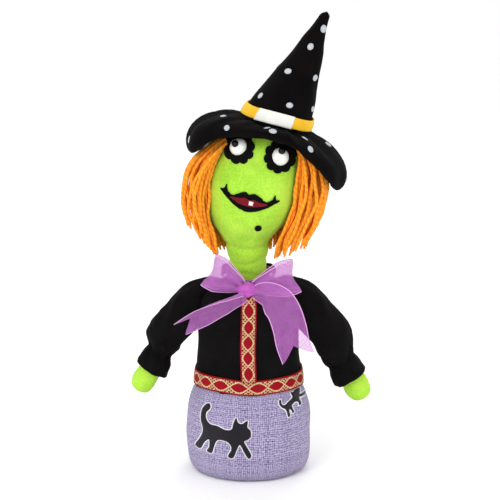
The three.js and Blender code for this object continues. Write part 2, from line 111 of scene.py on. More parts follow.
PUPPET_MIDDLE = Vector((0.0011, 0.0, 0.1663))
CAMERA_DISTANCE = 1.113
CAMERA_HEIGHT_ANGLE = math.radians(13)
LENS = 110
FLOOR_HALF = 4
lens = bpy.data.cameras.new("camera")
lens.lens = LENS
camera = bpy.data.objects.new("camera", lens)
bpy.context.scene.collection.objects.link(camera)
bpy.context.scene.camera = camera
to_camera = Vector((0, -math.cos(CAMERA_HEIGHT_ANGLE), math.sin(CAMERA_HEIGHT_ANGLE)))
camera.location = PUPPET_MIDDLE + CAMERA_DISTANCE * to_camera
camera.rotation_euler = (-to_camera).to_track_quat("-Z", "Y").to_euler()

bpy.context.scene.view_settings.view_transform = "Standard"
world = bpy.data.worlds.new("room")
bpy.context.scene.world = world
world.use_nodes = True
world.node_tree.nodes["Background"].inputs["Color"].default_value = paint("#ffffff")

light_box("key", (-0.7, -1.1, 1.1), 0.8, 6.5)
light_box("fill", (1.1, -0.9, 0.6), 1.0, 1.5)
light_box("rim", (0.3, 0.9, 1.1), 0.6, 3)

floor_mesh = bpy.data.meshes.new("floor")
floor_shape = bmesh.new()
bmesh.ops.create_grid(floor_shape, x_segments=1, y_segments=1, size=FLOOR_HALF)
floor_shape.to_mesh(floor_mesh)
floor_shape.free()
floor = bpy.data.objects.new("floor", floor_mesh)
bpy.context.scene.collection.objects.link(floor)
# Matt emulsion has no gloss, so that only soft shadows show on it.
floor_paint, _, _ = finish_named("matt white backdrop paint", Base_Color=paint("#ffffff"), Roughness=0.9)
floor_mesh.materials.append(floor_paint)

# ---- Skirt ----
# A drum of coarse lavender linen over wadding, open underneath for the hand. The cloth is gathered into
# the waist and turned in under the foot, where the puppet stands on it.

# Such linen has a thread about every 0.9 mm. It is drawn a little coarser, so that the weave shows.
COARSE_PITCH = 1.3
SETTLE_STEPS = 20


def drawn_through(points, t):
    """The point at t, from 0 to 1, on a smooth line through the given points."""
    last = len(points) - 1
    i = min(int(t * last), last - 1)
    f = t * last - i
    a, b, c, d = (Vector(points[min(max(k, 0), last)]) for k in (i - 1, i, i + 1, i + 2))
    bend, twist = 2 * a - 5 * b + 4 * c - d, 3 * b - a - 3 * c + d
    return 0.5 * (2 * b + (c - a) * f + bend * f ** 2 + twist * f ** 3)


def sewn(name, columns, rows, place, cut, material):
    """Cuts a flat piece of cloth of cut = (width, height) mm and takes each of its points to place(u, v)."""
    shape = bmesh.new()
    cloth = shape.loops.layers.uv.new("cloth")
    bmesh.ops.create_grid(shape, x_segments=columns, y_segments=rows, size=0.5)
    for face in shape.faces:
        for corner in face.loops:
            corner[cloth].uv = ((corner.vert.co.x + 0.5) * cut[0], (corner.vert.co.y + 0.5) * cut[1])
    for vert in shape.verts:
        vert.co = Vector(place(vert.co.x + 0.5, vert.co.y + 0.5)) * MM
    bmesh.ops.remove_doubles(shape, verts=shape.verts, dist=0.01 * MM)
    return shown(name, shape, material)


def shown(name, shape, material):
    """Puts a finished shape into the scene as a piece with smooth faces."""
    mesh = bpy.data.meshes.new(name)
    shape.to_mesh(mesh)
    shape.free()
    mesh.materials.append(material)
    mesh.polygons.foreach_set("use_smooth", [True] * len(mesh.polygons))
    piece = bpy.data.objects.new(name, mesh)
    bpy.context.scene.collection.objects.link(piece)
    return piece


def with_modifier(piece, kind, **settings):
    modifier = piece.modifiers.new(kind.lower(), kind)
    for name, value in settings.items():
        setattr(modifier, name, value)
    return piece


def puffed(piece, pressure, cap):
    """Lets the stuffing push the cloth out for some steps; no point moves further than cap mm."""
    cloth = piece.modifiers.new("stuffing", "CLOTH")
    cloth.settings.use_pressure = True
    cloth.settings.uniform_pressure_force = pressure
    cloth.settings.effector_weights.gravity = 0
    for step in range(1, SETTLE_STEPS + 1):
        bpy.context.scene.frame_set(step)
    settled = piece.evaluated_get(bpy.context.evaluated_depsgraph_get()).data
    for vert, moved in zip(piece.data.vertices, settled.vertices):
        push = moved.co - vert.co
        vert.co += push * min(1, cap * MM / max(push.length, 1e-9))
    piece.modifiers.remove(cloth)
    bpy.context.scene.frame_set(1)


def folds(angle, counts, seed):
    """Uneven gathers round a drawn-in edge, from -1 to 1, for an angle in radians."""
    wave = sum(math.sin(n * angle + seed * n * 1.7) / (1 + 0.35 * i) for i, n in enumerate(counts))
    return wave / sum(1 / (1 + 0.35 * i) for i in range(len(counts)))


def rising(height, start, end):
    """0 up to start, then rising to 1 at end, and on beyond it."""
    return max(0, (height - start) / (end - start))


def lumps(angle, reach, along, size, seed):
    """Soft unevenness of the stuffing at an angle round a piece, from about -1 to 1."""
    place = Vector((reach * math.cos(angle) / size + seed, reach * math.sin(angle) / size, along / size))
    return noise.noise(place)


def cloth_look(tree, shader, share, dark, light, height, depth, strength):
    """Colours a shader from dark to light by share, and raises its surface by height, depth mm at most.
    dark and light are hex colours or sockets."""
    dark, light = (paint(tone) if isinstance(tone, str) else tone for tone in (dark, light))
    tone = wire(tree, "ShaderNodeMix", {0: share, 6: dark, 7: light}, data_type="RGBA")
    tree.links.new(tone.outputs[2], shader.inputs["Base Color"])
    relief = wire(tree, "ShaderNodeBump", {"Height": height, "Distance": depth * MM, "Strength": strength})
    tree.links.new(relief.outputs[0], shader.inputs["Normal"])


def woven(name, pitch, dark, light, bump, roughness):
    """Plain weave on the piece's own cloth map, in mm: each thread has its own shade and stands round."""
    material, tree, shader = finish_named(name, Roughness=roughness, Sheen_Weight=0.15)
    cloth_map = wire(tree, "ShaderNodeUVMap", uv_map="cloth")
    wander = wire(tree, "ShaderNodeTexNoise", {"Vector": cloth_map, "Scale": 0.22 / pitch, "Detail": 2.0})
    push = wire(tree, "ShaderNodeVectorMath", {0: wander.outputs["Color"], 1: (0.5, 0.5, 0.5)},
                operation="SUBTRACT")
    drift = wire(tree, "ShaderNodeVectorMath", {0: push, "Scale": 1.6 * pitch}, operation="SCALE")
    moved = wire(tree, "ShaderNodeVectorMath", {0: cloth_map, 1: drift}, operation="ADD")
    threads = wire(tree, "ShaderNodeVectorMath", {0: moved, "Scale": 1 / pitch}, operation="SCALE")
    count = wire(tree, "ShaderNodeVectorMath", {0: threads}, operation="FLOOR")
    across = wire(tree, "ShaderNodeSeparateXYZ", {0: threads})
    number = wire(tree, "ShaderNodeSeparateXYZ", {0: count})
    total = wire(tree, "ShaderNodeMath", {0: number.outputs[0], 1: number.outputs[1]}, operation="ADD")
    warp_on_top = wire(tree, "ShaderNodeMath", {0: total, 1: 2.0}, operation="FLOORED_MODULO")
    rounds, shades = [], []
    for axis in (0, 1):
        half_turn = wire(tree, "ShaderNodeMath", {0: across.outputs[axis], 1: math.pi}, operation="MULTIPLY")
        wave = wire(tree, "ShaderNodeMath", {0: half_turn}, operation="SINE")
        rounds.append(wire(tree, "ShaderNodeMath", {0: wave}, operation="ABSOLUTE"))
        shades.append(wire(tree, "ShaderNodeTexWhiteNoise", {"W": number.outputs[axis]},
                           noise_dimensions="1D"))
    height = wire(tree, "ShaderNodeMix", {0: warp_on_top, 2: rounds[1], 3: rounds[0]})
    shade = wire(tree, "ShaderNodeMix", {0: warp_on_top, 2: shades[1], 3: shades[0]})
    slub = wire(tree, "ShaderNodeTexNoise", {"Vector": cloth_map, "Scale": 0.9 / pitch, "Detail": 3.0})
    quieter = wire(tree, "ShaderNodeMapRange", {0: shade, 3: 0.1, 4: 0.5})
    flecks = wire(tree, "ShaderNodeMath", {0: slub, 1: 1.8, 2: quieter}, operation="MULTIPLY_ADD")
    # lit adds the height of each thread to its flecks: painted light on the crown of each thread and painted
    # shade between threads.
    lit = wire(tree, "ShaderNodeMath", {0: flecks, 1: height}, operation="ADD")
    share = wire(tree, "ShaderNodeMapRange", {0: lit, 1: 1.25, 2: 2.1})
    cloth_look(tree, shader, share, dark, light, height, bump, 0.9)
    return material


skirt_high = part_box("skirt_cloth")[1]
BODY_DEPTH = skirt_high.y / skirt_high.x
SKIRT_WIDE = skirt_high.x / MM
SKIRT_TOP = skirt_high.z / MM
SKIRT_EDGE = [(32.6, 4), (33.2, 0.6), (38, 0.3), (42, 1.9), (45, 7), (46, 16), (SKIRT_WIDE + 1, 30),
              (45.6, 44), (43.3, 56), (39.4, SKIRT_TOP - 0.5), (37.8, SKIRT_TOP + 4)]
SKIRT_GATHERS, SKIRT_FOOT, UNDER_BRAID = (44, 68), (14, 0), 62

lavender_linen = woven("lavender coarse linen", COARSE_PITCH, "#43376a", "#bdb2d6", 0.4, 0.95)


def round_body(radius, angle, height):
    """A point of the oval body, radius mm out at its sides."""
    return radius * math.cos(angle), radius * math.sin(angle) * BODY_DEPTH, height


def skirt_point(u, v):
    angle = math.tau * (u + 0.25)
    radius, height = drawn_through(SKIRT_EDGE, v)
    waist = rising(height, *SKIRT_GATHERS) * (1 if height < UNDER_BRAID else 0.45)
    foot = rising(height, *SKIRT_FOOT)
    radius += 0.9 * waist * folds(angle, (9, 14, 23, 31), 0.4) + 0.5 * foot * folds(angle, (13, 21, 34), 1.1)
    radius += 1.1 * lumps(angle, 3, height / 12, 1.6, 3.1)
    return round_body(radius, angle, height)


skirt = sewn("skirt", 220, 64, skirt_point, (math.tau * 42, 104), lavender_linen)
with_modifier(skirt, "SOLIDIFY", thickness=1.2 * MM, offset=-1)
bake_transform(skirt)
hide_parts("skirt_cloth", "skirt_hem", "skirt_wadding")


# A second, thin wall of plain cotton lines the hand space, gathered at the top.
LINING_EDGE = [(33.4, 3.2), (38, 7), (40, 20), (41, 34), (40.4, 48), (38.6, 60), (36.4, 68)]


def plain_cloth(name, colour, bump, roughness, grain, sheen=0.2, gloss=0.25):
    """Close cloth whose threads are too fine to see: a soft mottled grain and a faint sheen."""
    material, tree, shader = finish_named(name, Roughness=roughness, Sheen_Weight=sheen,
                                          Specular_IOR_Level=gloss)
    place = wire(tree, "ShaderNodeTexCoord").outputs["Object"]
    fine = wire(tree, "ShaderNodeTexNoise", {"Vector": place, "Scale": 1 / (grain * MM), "Detail": 4.0})
    broad = wire(tree, "ShaderNodeTexNoise", {"Vector": place, "Scale": 60.0, "Detail": 3.0})
    both = wire(tree, "ShaderNodeMath", {0: fine, 1: broad}, operation="ADD")
    share = wire(tree, "ShaderNodeMapRange", {0: both, 1: 0.65, 2: 1.35})
    cloth_look(tree, shader, share, *colour, fine, bump, 0.8)
    return material


lining_cotton = plain_cloth("unbleached lining cotton", ("#b9b09c", "#d6cebc"), 0.2, 0.9, 0.8)


def lining_point(u, v):
    angle = math.tau * (u + 0.25)
    radius, height = drawn_through(LINING_EDGE, v)
    radius -= 0.7 * (0.3 + v) * (1 + folds(angle, (12, 19, 27), 0.7))
    return round_body(radius, angle, height)


lining = sewn("skirt_inner_lining", 160, 24, lining_point, (math.tau * 40, 66), lining_cotton)
with_modifier(lining, "SOLIDIFY", thickness=0.6 * MM, offset=-1)
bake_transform(lining)
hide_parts("skirt_lining")

# ---- Jacket ----
# A black brushed jersey bodice sewn to the skirt at the waist, rounded at the shoulders and drawn in at
# the neck, with a small rolled collar that shows behind the neck.

jacket_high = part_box("jacket_body")[1]
JACKET_WIDE = jacket_high.x / MM
JACKET_EDGE = [(JACKET_WIDE - 1, 64), (JACKET_WIDE - 0.6, 72), (37.6, 84), (36.8, 98), (37, 112), (37.6, 124),
               (35.4, 133.5), (28.5, 140.3), (20, 144.2), (15.5, 146.6)]
JACKET_WAIST_GATHERS, JACKET_NECK_GATHERS = (90, 64), (126, 146)
EDGE_SAMPLES = 80

black_jersey = plain_cloth("black brushed jersey", ("#060506", "#121011"), 0.22, 0.95, 0.9, 0.01, 0.08)


def radius_at(edge, height):
    """The radius of a turned edge at a height, found by walking along it."""
    steps = [drawn_through(edge, i / EDGE_SAMPLES) for i in range(EDGE_SAMPLES + 1)]
    return min(steps, key=lambda p: abs(p[1] - height))[0]


def sewn_on(piece, body, slot, *nodes):
    """The piece moves with a body and stands for the named nodes. slot is not used."""
    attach(piece, body)
    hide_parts(*nodes)


def jacket_point(u, v):
    angle = math.tau * (u + 0.25)
    radius, height = drawn_through(JACKET_EDGE, v)
    radius += 0.5 * rising(height, *JACKET_WAIST_GATHERS) * folds(angle, (8, 13, 21), 0.9)
    radius += 0.6 * rising(height, *JACKET_NECK_GATHERS) * folds(angle, (7, 12, 17), 0.3)
    radius += 1.2 * lumps(angle, 2.2, height / 16, 1.3, 8.2)
    return round_body(radius, angle, height)


jacket = sewn("jacket", 160, 60, jacket_point, (math.tau * 37, 100), black_jersey)
with_modifier(jacket, "SOLIDIFY", thickness=1 * MM, offset=-1)
sewn_on(jacket, "torso", "black_jersey", "jacket_body")

collar_low, collar_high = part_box("jacket_collar")
COLLAR_RADIUS = (collar_high.x - collar_low.x) / 2 / MM - 1.6
COLLAR_MIDDLE = (collar_low.z + collar_high.z) / 2 / MM
COLLAR_FROM, COLLAR_SWEEP = -14, 208


def collar_point(u, v):
    angle = math.radians(COLLAR_FROM + COLLAR_SWEEP * u)
    ends = math.sin(math.pi * min(max(u, 0.02), 0.98)) ** 0.3
    roll = math.tau * v
    radius = COLLAR_RADIUS + 2.3 * ends * math.cos(roll) + 0.5 * folds(angle, (5, 9, 14), 0.5)
    height = COLLAR_MIDDLE + 4.4 * ends * math.sin(roll) + 0.7 * math.sin(5 * angle)
    return radius * math.cos(angle), radius * math.sin(angle), height


collar = sewn("collar_roll", 72, 20, collar_point, (70, 20), black_jersey)
sewn_on(collar, "torso", "black_jersey", "jacket_collar")

# ---- Braid ----
# A woven crimson trimming, 11 mm wide, with metallic thread: pointed ovals with a red heart, joined by
# clusters of crossing gold threads. It covers the waist seam and runs down the front of the jacket.

BRAID_WIDE = 11
OVAL_HALF_WIDE = 3.8
THREAD_WIDE = 0.6
THREAD_SLANT = 1.3
RIB_PITCH = 0.9


def metal_braid(name, period):
    """Dull crimson ribs, and bright gold where the repeating oval or a thread outside it is near."""
    material, tree, shader = finish_named(name, Roughness=0.6, Specular_IOR_Level=0.08)
    cloth_map = wire(tree, "ShaderNodeUVMap", uv_map="cloth")
    split = wire(tree, "ShaderNodeSeparateXYZ", {0: cloth_map})
    found = {"along": split.outputs[0], "across": split.outputs[1]}
    for result, operation, *terms in (
            ("turn", "MULTIPLY", "along", math.tau / period),
            ("from_edge", "SUBTRACT", "across", BRAID_WIDE / 2), ("off_middle", "ABSOLUTE", "from_edge"),
            ("half_turn", "MULTIPLY", "turn", 0.5), ("half_sine", "SINE", "half_turn"),
            ("half_wave", "ABSOLUTE", "half_sine"), ("oval", "MULTIPLY", "half_wave", OVAL_HALF_WIDE),
            ("past_oval", "SUBTRACT", "off_middle", "oval"), ("from_oval", "ABSOLUTE", "past_oval"),
            ("oval_thread", "LESS_THAN", "from_oval", THREAD_WIDE),
            ("outside", "GREATER_THAN", "past_oval", 0.0),
            ("two_turns", "MULTIPLY", "turn", 2.0), ("slant", "MULTIPLY", "off_middle", THREAD_SLANT),
            ("forth", "ADD", "two_turns", "slant"), ("forth_sine", "SINE", "forth"),
            ("back", "SUBTRACT", "two_turns", "slant"), ("back_sine", "SINE", "back"),
            ("forth_wave", "ABSOLUTE", "forth_sine"), ("back_wave", "ABSOLUTE", "back_sine"),
            ("nearest", "MINIMUM", "forth_wave", "back_wave"), ("near", "LESS_THAN", "nearest", 0.38),
            ("inside_edge", "LESS_THAN", "off_middle", BRAID_WIDE / 2 - 1.1),
            ("crossing", "MULTIPLY", "near", "outside"), ("spider", "MULTIPLY", "crossing", "inside_edge"),
            ("gold_parts", "MAXIMUM", "oval_thread", "spider"),
            # rib_light dims the gold between the ribs: painted shade.
            ("rib_turn", "MULTIPLY", "along", math.pi / RIB_PITCH), ("rib_sine", "SINE", "rib_turn"),
            ("ribs", "ABSOLUTE", "rib_sine"), ("rib_light", "MULTIPLY_ADD", "ribs", 0.35, 0.65),
            ("gold", "MULTIPLY", "gold_parts", "rib_light"), ("raised", "MULTIPLY_ADD", "ribs", 0.5, "gold"),
            ("metal", "MULTIPLY", "gold", 0.3)):
        inputs = {i: found.get(term, term) for i, term in enumerate(terms)}
        found[result] = wire(tree, "ShaderNodeMath", inputs, operation=operation)
    # glint and sparkle paint random near-white spots on the gold: painted highlights. The red is lighter on
    # each rib's crown and darker between the ribs: painted shade.
    glint = wire(tree, "ShaderNodeTexNoise", {"Vector": cloth_map, "Scale": 1.6, "Detail": 2.0})
    sparkle = wire(tree, "ShaderNodeMapRange", {0: glint, 1: 0.38, 2: 0.6})
    gold_tone, red_tone = (
        wire(tree, "ShaderNodeMix", {0: share, 6: paint(dark), 7: paint(light)}, data_type="RGBA").outputs[2]
        for share, dark, light in ((sparkle, "#a8702a", "#fff4c4"), (found["ribs"], "#600612", "#a80e20")))
    cloth_look(tree, shader, found["gold"], red_tone, gold_tone, found["raised"], 0.35, 0.8)
    tree.links.new(found["metal"].outputs[0], shader.inputs["Metallic"])
    return material


WAIST_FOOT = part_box("waist_braid")[0].z / MM
WAIST_ROUND = math.tau * (JACKET_WIDE + 1) * (1 + BODY_DEPTH) / 2
waist_weave = metal_braid("crimson and gold waist braid", WAIST_ROUND / round(WAIST_ROUND / 13))
front_weave = metal_braid("crimson and gold front braid", 11.6)


def waist_braid_point(u, v):
    """It leans in towards its top, and wanders up and down a little, as a hand sewed it on."""
    angle = math.tau * (u + 0.25)
    height = WAIST_FOOT + BRAID_WIDE * v
    radius = JACKET_WIDE + 1.3 - 1.1 * v + 0.35 * math.sin(math.pi * v)
    radius += 0.35 * folds(angle, (5, 9, 16), 0.2)
    wander = 0.5 * math.sin(2 * angle + 1) + 0.35 * math.sin(5 * angle)
    return round_body(radius, angle, height + wander)


waist_braid = sewn("waist_braid_woven", 240, 8, waist_braid_point, (WAIST_ROUND, BRAID_WIDE), waist_weave)
with_modifier(waist_braid, "SOLIDIFY", thickness=1.1 * MM, offset=-1)
sewn_on(waist_braid, "torso", "red_gold_braid", "waist_braid")


def surface_of(piece):
    """A finished piece's faces, in a form that rays can be cast on."""
    shape = bmesh.new()
    shape.from_mesh(piece.data)
    tree = BVHTree.FromBMesh(shape)
    shape.free()
    return tree


jacket_skin = surface_of(jacket)
OVERLAP = (82, 76)
FRONT_FOOT = WAIST_FOOT + BRAID_WIDE - 1.5
FRONT_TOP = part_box("front_braid")[1].z / MM + 4


def front_braid_point(u, v):
    """It lies on the jacket, and at its foot over the waist braid."""
    height = FRONT_FOOT + (FRONT_TOP - FRONT_FOOT) * u
    across = BRAID_WIDE * (0.5 - v) + 0.35 * math.sin(height / 9)
    hit, normal, _, _ = jacket_skin.ray_cast(Vector((across, -80, height)) * MM, Vector((0, 1, 0)))
    stand = 1.4 + 1.2 * rising(height, *OVERLAP)
    return (hit + normal * stand * MM) / MM


front_cut = (FRONT_TOP - FRONT_FOOT, BRAID_WIDE)
front_braid = sewn("front_braid_woven", 60, 8, front_braid_point, front_cut, front_weave)
with_modifier(front_braid, "SOLIDIFY", thickness=1.2 * MM, offset=-1)
sewn_on(front_braid, "torso", "red_gold_braid", "front_braid")

# ---- Sleeves ----
# Each sleeve is a full tube of the jacket's jersey. Elastic gathers it at the wrist, below which the
# cuff flares over the hand. It is cut in two at the elbow, where the forearm bends forward.

JOINTS = {joint["name"]: joint for joint in frame["joints"]}
# Inside the shoulder the sleeve turns through 50 degrees in 28 mm, towards the neck.
SHOULDER_TURN = math.radians(50) / 28
# Between shoulder and elbow the stuffed sleeve bows upwards.
BOW_HIGH, BOW_AT, BOW_LONG = 4, 27, 15
FOREARM_LONG, HAND_LONG = 12, 35
UNGATHERED = -50


class Arm:
    """Where one arm lies: a point t mm down from the shoulder, r mm out at an angle round the arm."""

    def __init__(self, side):
        self.side = side
        self.shoulder = Vector(JOINTS[side + "_arm_raise"]["pos_m"])
        self.elbow = Vector(JOINTS[side + "_elbow_bend"]["pos_m"])
        self.along = (self.elbow - self.shoulder).normalized()
        self.out = Vector((0, 1, 0)).cross(self.along)
        self.up = self.out if side == "left" else -self.out
        self.elbow_at = (self.elbow - self.shoulder).length / MM
        self.wrist_at = self.elbow_at + FOREARM_LONG
        self.tip_at = self.wrist_at + HAND_LONG

    def point(self, t, r, angle, flat=1.0):
        """Inside the shoulder, where t is below 0, the arm's line bends towards the neck."""
        bend = max(-t, 0) * SHOULDER_TURN
        middle = self.shoulder / MM + self.along * max(t, 0)
        middle -= (self.along * math.sin(bend) + self.up * (1 - math.cos(bend))) / SHOULDER_TURN
        middle += self.up * BOW_HIGH * math.exp(-((t - BOW_AT) / BOW_LONG) ** 2)
        outward = self.up * math.cos(bend) - self.along * math.sin(bend)
        around = outward * math.cos(angle) + Vector((0, flat, 0)) * math.sin(angle)
        return middle + around * r


def sleeve_points(arm, edge, gather_at, seed):
    """A sleeve turned from its edge, with the tight gathers of the elastic gather_at mm down the arm."""
    def place(u, v):
        angle = math.tau * u
        radius, t = drawn_through(edge, v)
        drawn_in = math.exp(-((t - gather_at) / 5) ** 2)
        radius += 0.75 * drawn_in * folds(angle, (9, 13, 19), seed)
        radius += 0.5 * folds(angle, (5, 8, 12), seed + t / 40)
        radius += 1.6 * lumps(angle, 2, t / 9, 1.2, seed * 7)
        return arm.point(t, radius, angle)
    return place


for side in ("left", "right"):
    arm = Arm(side)
    elbow, wrist = arm.elbow_at, arm.wrist_at
    upper_edge = [(1, -32), (4.5, -27), (8.2, -20), (10.6, -12.5), (12.7, -5), (14.1, 3), (14.7, 11),
                  (14.4, elbow - 6), (13.8, elbow), (12.9, elbow + 3)]
    upper_point = sleeve_points(arm, upper_edge, UNGATHERED, 1.3)
    upper = sewn(f"sleeve_upper_{side}", 72, 36, upper_point, (90, 45), black_jersey)
    with_modifier(upper, "SOLIDIFY", thickness=0.9 * MM, offset=-1)
    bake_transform(upper)
    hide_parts("upper_sleeve_" + side)
    lower_edge = [(12.4, elbow - 6), (13.6, elbow - 1), (13.4, elbow + 4), (11.6, wrist - 4), (9.7, wrist),
                  (10.9, wrist + 3.5), (12, wrist + 9), (12.6, wrist + 14), (12.2, wrist + 14.8),
                  (11.4, wrist + 14), (10.8, wrist + 9)]
    lower_point = sleeve_points(arm, lower_edge, wrist, 2.1)
    lower = sewn(f"sleeve_lower_{side}", 96, 60, lower_point, (80, 50), black_jersey)
    with_modifier(lower, "SOLIDIFY", thickness=0.7 * MM, offset=-1)
    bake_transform(lower)
    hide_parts("lower_sleeve_" + side, "cuff_" + side, "finger_stall_" + side)

# ---- Hands ----
# Stuffed mittens of the face's green velour, seamed round the edge and set inside the cuffs.


def short_pile(name, shadow, colour, bright):
    """Velour: a dense short pile with a velvety sheen. Its colour is mottled where the pile lies different
    ways, as painted light and painted shade.
    """
    material, tree, shader = finish_named(name, Roughness=0.88, Specular_IOR_Level=0.25, Sheen_Weight=0.25,
                                          Sheen_Roughness=0.45, Sheen_Tint=paint("#e8ffb0"))
    place = wire(tree, "ShaderNodeTexCoord").outputs["Object"]
    pile = wire(tree, "ShaderNodeTexNoise", {"Vector": place, "Scale": 900.0, "Detail": 3.0})
    # brushed gives broad patches from the shadow colour to the bright one: painted light and painted shade
    # where the pile lies different ways.
    brushed = wire(tree, "ShaderNodeTexNoise", {"Vector": place, "Scale": 55.0, "Detail": 5.0})
    both = wire(tree, "ShaderNodeMath", {0: pile, 1: brushed}, operation="ADD")
    share = wire(tree, "ShaderNodeMapRange", {0: both, 1: 0.7, 2: 1.3})
    ramp = wire(tree, "ShaderNodeValToRGB", {0: share})
    ramp.color_ramp.elements[0].color = paint(shadow)
    ramp.color_ramp.elements[1].color = paint(bright)
    ramp.color_ramp.elements.new(0.5).color = paint(colour)
    tree.links.new(ramp.outputs[0], shader.inputs["Base Color"])
    relief = wire(tree, "ShaderNodeBump", {"Height": pile, "Distance": 0.35 * MM, "Strength": 0.7})
    tree.links.new(relief.outputs[0], shader.inputs["Normal"])
    return material


green_velour = short_pile("lime green velour", "#90ca32", "#a9dd3e", "#bbe84f")


def mitten_points(arm, edge, flat, seed):
    """A stuffed mitten turned from its edge, flatter by flat, with a sunk seam along both its edges."""
    def place(u, v):
        angle = math.tau * u
        radius, t = drawn_through(edge, v)
        radius = max(radius, 0)
        radius -= 0.55 * math.exp(-(math.sin(angle) / 0.16) ** 2) * min(radius / 4, 1)
        radius += min(radius / 5, 1) * 0.8 * lumps(angle, 2, t / 8, 1.3, seed)
        return arm.point(t, radius, angle, flat)
    return place


for side, wide in (("left", 8.7), ("right", 9.4)):
    arm = Arm(side)
    wrist, tip = arm.wrist_at, arm.tip_at - 0.3
    edge = [(5.2, wrist + 3), (7, wrist + 5), (7.9, wrist + 11), (wide, wrist + 19), (wide * 1.03, tip - 9),
            (wide * 0.86, tip - 3.6), (wide * 0.5, tip - 0.8), (0, tip)]
    mitten = sewn(f"mitten_{side}", 56, 40, mitten_points(arm, edge, 0.8, 4.4), (54, 40), green_velour)
    puffed(mitten, 4, 0.6)
    sewn_on(mitten, "forearm_" + side, "green_velour", "hand_" + side)

# ---- Head and neck ----
# One skin of green velour, sewn to a bulb shape that leans to one side, stuffed firm and drawn in to a
# narrow creased neck that takes the forefinger. The nose is a pinch of the same skin.

HEAD_EDGE = [(12.6, 140), (13.6, 149), (13.7, 158), (15.2, 168), (18, 176), (22.6, 182), (27.6, 188.6),
             (31.6, 198), (33.8, 210), (33.8, 222), (32, 234), (28.2, 244.5), (22.5, 253), (13, 260.5),
             (0, 263.6)]
HEAD_LEAN = [(0, 140), (-0.4, 158), (-1.5, 176), (1, 190), (2.5, 212), (9, 246), (14, 264)]
HEAD_DEPTH = 0.93
NECK_CREASES = [(171, 1.3, 2.4), (159.5, 0.8, 1.8), (150, 0.7, 1.6)]
NOSE = (2.2, 230, 5.2, 4.6)
SOFT_BUMPS = [(-17, 214, 9, 2.2), (20, 206, 9, 2.2), (3, 192, 8, 1.6), (-2, 220, 4, -0.8), (9, 219, 4, -0.6)]


def value_at(pairs, height):
    """Reads a list of (value, height) pairs as straight lines between its points."""
    for (v0, z0), (v1, z1) in zip(pairs, pairs[1:]):
        if height <= z1:
            return v0 + (v1 - v0) * max(height - z0, 0) / (z1 - z0)
    return pairs[-1][0]


def head_point(u, v):
    angle = math.tau * (u + 0.25)
    radius, height = drawn_through(HEAD_EDGE, v)
    radius = max(radius, 0)
    for at, deep, wide in NECK_CREASES:
        uneven = height - at - 1.6 * math.sin(angle * 2 + at)
        radius -= deep * math.exp(-(uneven / wide) ** 2)
    radius += min(radius / 20, 1) * 0.9 * lumps(angle, 1.8, height / 18, 1.1, 2.5)
    chin = math.exp(-((height - 179) / 7) ** 2)
    radius += 0.5 * chin * folds(angle, (9, 15, 22), 0.8)
    x = radius * math.cos(angle) + value_at(HEAD_LEAN, height)
    y = radius * math.sin(angle) * HEAD_DEPTH
    if y < 0:
        for bump_x, bump_z, wide, tall in [NOSE, *SOFT_BUMPS]:
            y -= tall * math.exp(-((x - bump_x) ** 2 + (height - bump_z) ** 2) / wide ** 2)
    return x, y, height


head = sewn("head_and_neck", 180, 150, head_point, (210, 150), green_velour)
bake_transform(head)
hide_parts("head_skin", "head_stuffing", "neck_skin", "neck_wadding")

# The finger tube inside the neck stays as it is, in dull cotton stiffened with size.
neck_tube = frame["nodes"]["neck_tube"]
buckram = plain_cloth("stiff buckram", ("#9c8a6c", "#c2b08e"), 0.25, 0.9, 0.9)
neck_tube.data.materials.clear()
neck_tube.data.materials.append(buckram)

# ---- Face ----
# Felt and satin-stitched shapes laid on the face: a scalloped black felt behind each eye, black lips
# round a red mouth with one tooth, and a mole. They follow the tilt of the head.

FACE_TILT = math.radians(12.5)
ROUND_EDGE = 2.2


def laid_on(name, surface, outline, lift, thick, material, cell=1.1, fuller=0.0, turn=0.0):
    """Cuts an outline of (x, z) mm out of cloth and lays it on a surface, fuller by so many mm inside.
    It is pressed on from the front, or from the side that turn degrees round the upright axis gives."""
    round_to = Matrix.Rotation(math.radians(turn), 3, "Z")
    press = round_to @ Vector((0, 1, 0))
    shape = bmesh.new()
    corners = [shape.verts.new((x * MM, 0, z * MM)) for x, z in outline]
    shape.faces.new(corners)
    low_x, high_x = min(p[0] for p in outline), max(p[0] for p in outline)
    low_z, high_z = min(p[1] for p in outline), max(p[1] for p in outline)
    for normal, start, end in (((1, 0, 0), low_x, high_x), ((0, 0, 1), low_z, high_z)):
        for i in range(1, int((end - start) / cell)):
            at = Vector(normal) * (start + i * cell) * MM
            everything = shape.verts[:] + shape.edges[:] + shape.faces[:]
            bmesh.ops.bisect_plane(shape, geom=everything, plane_co=at, plane_no=normal)
    bmesh.ops.triangulate(shape, faces=shape.faces[:])
    border = [Vector((x, z)) for x, z in outline]
    for vert in shape.verts:
        hit, normal, _, _ = surface.ray_cast(round_to @ Vector((vert.co.x, -0.2, vert.co.z)), press)
        full = 0.0
        if fuller:
            here = Vector((vert.co.x, vert.co.z)) / MM
            full = fuller * min(1, min((here - p).length for p in border) / ROUND_EDGE) ** 0.5
        if hit is not None:
            vert.co = hit + normal * (lift + full) * MM
    bmesh.ops.recalc_face_normals(shape, faces=shape.faces)
    if sum(face.normal.dot(press) * face.calc_area() for face in shape.faces) > 0:
        bmesh.ops.reverse_faces(shape, faces=shape.faces)
    piece = shown(name, shape, material)
    with_modifier(piece, "SOLIDIFY", thickness=thick * MM, offset=1)
    return piece


def tilted(points, centre):
    """Turns (x, z) points with the face and moves them to its centre, all in mm."""
    turn = Matrix.Rotation(-FACE_TILT, 2)
    return [tuple(turn @ Vector(p) + Vector(centre)) for p in points]


def middle_of(node):
    """The middle of a node's box, in mm."""
    low_corner, high_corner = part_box(node)
    return (low_corner + high_corner) / 2 / MM


face = surface_of(head)
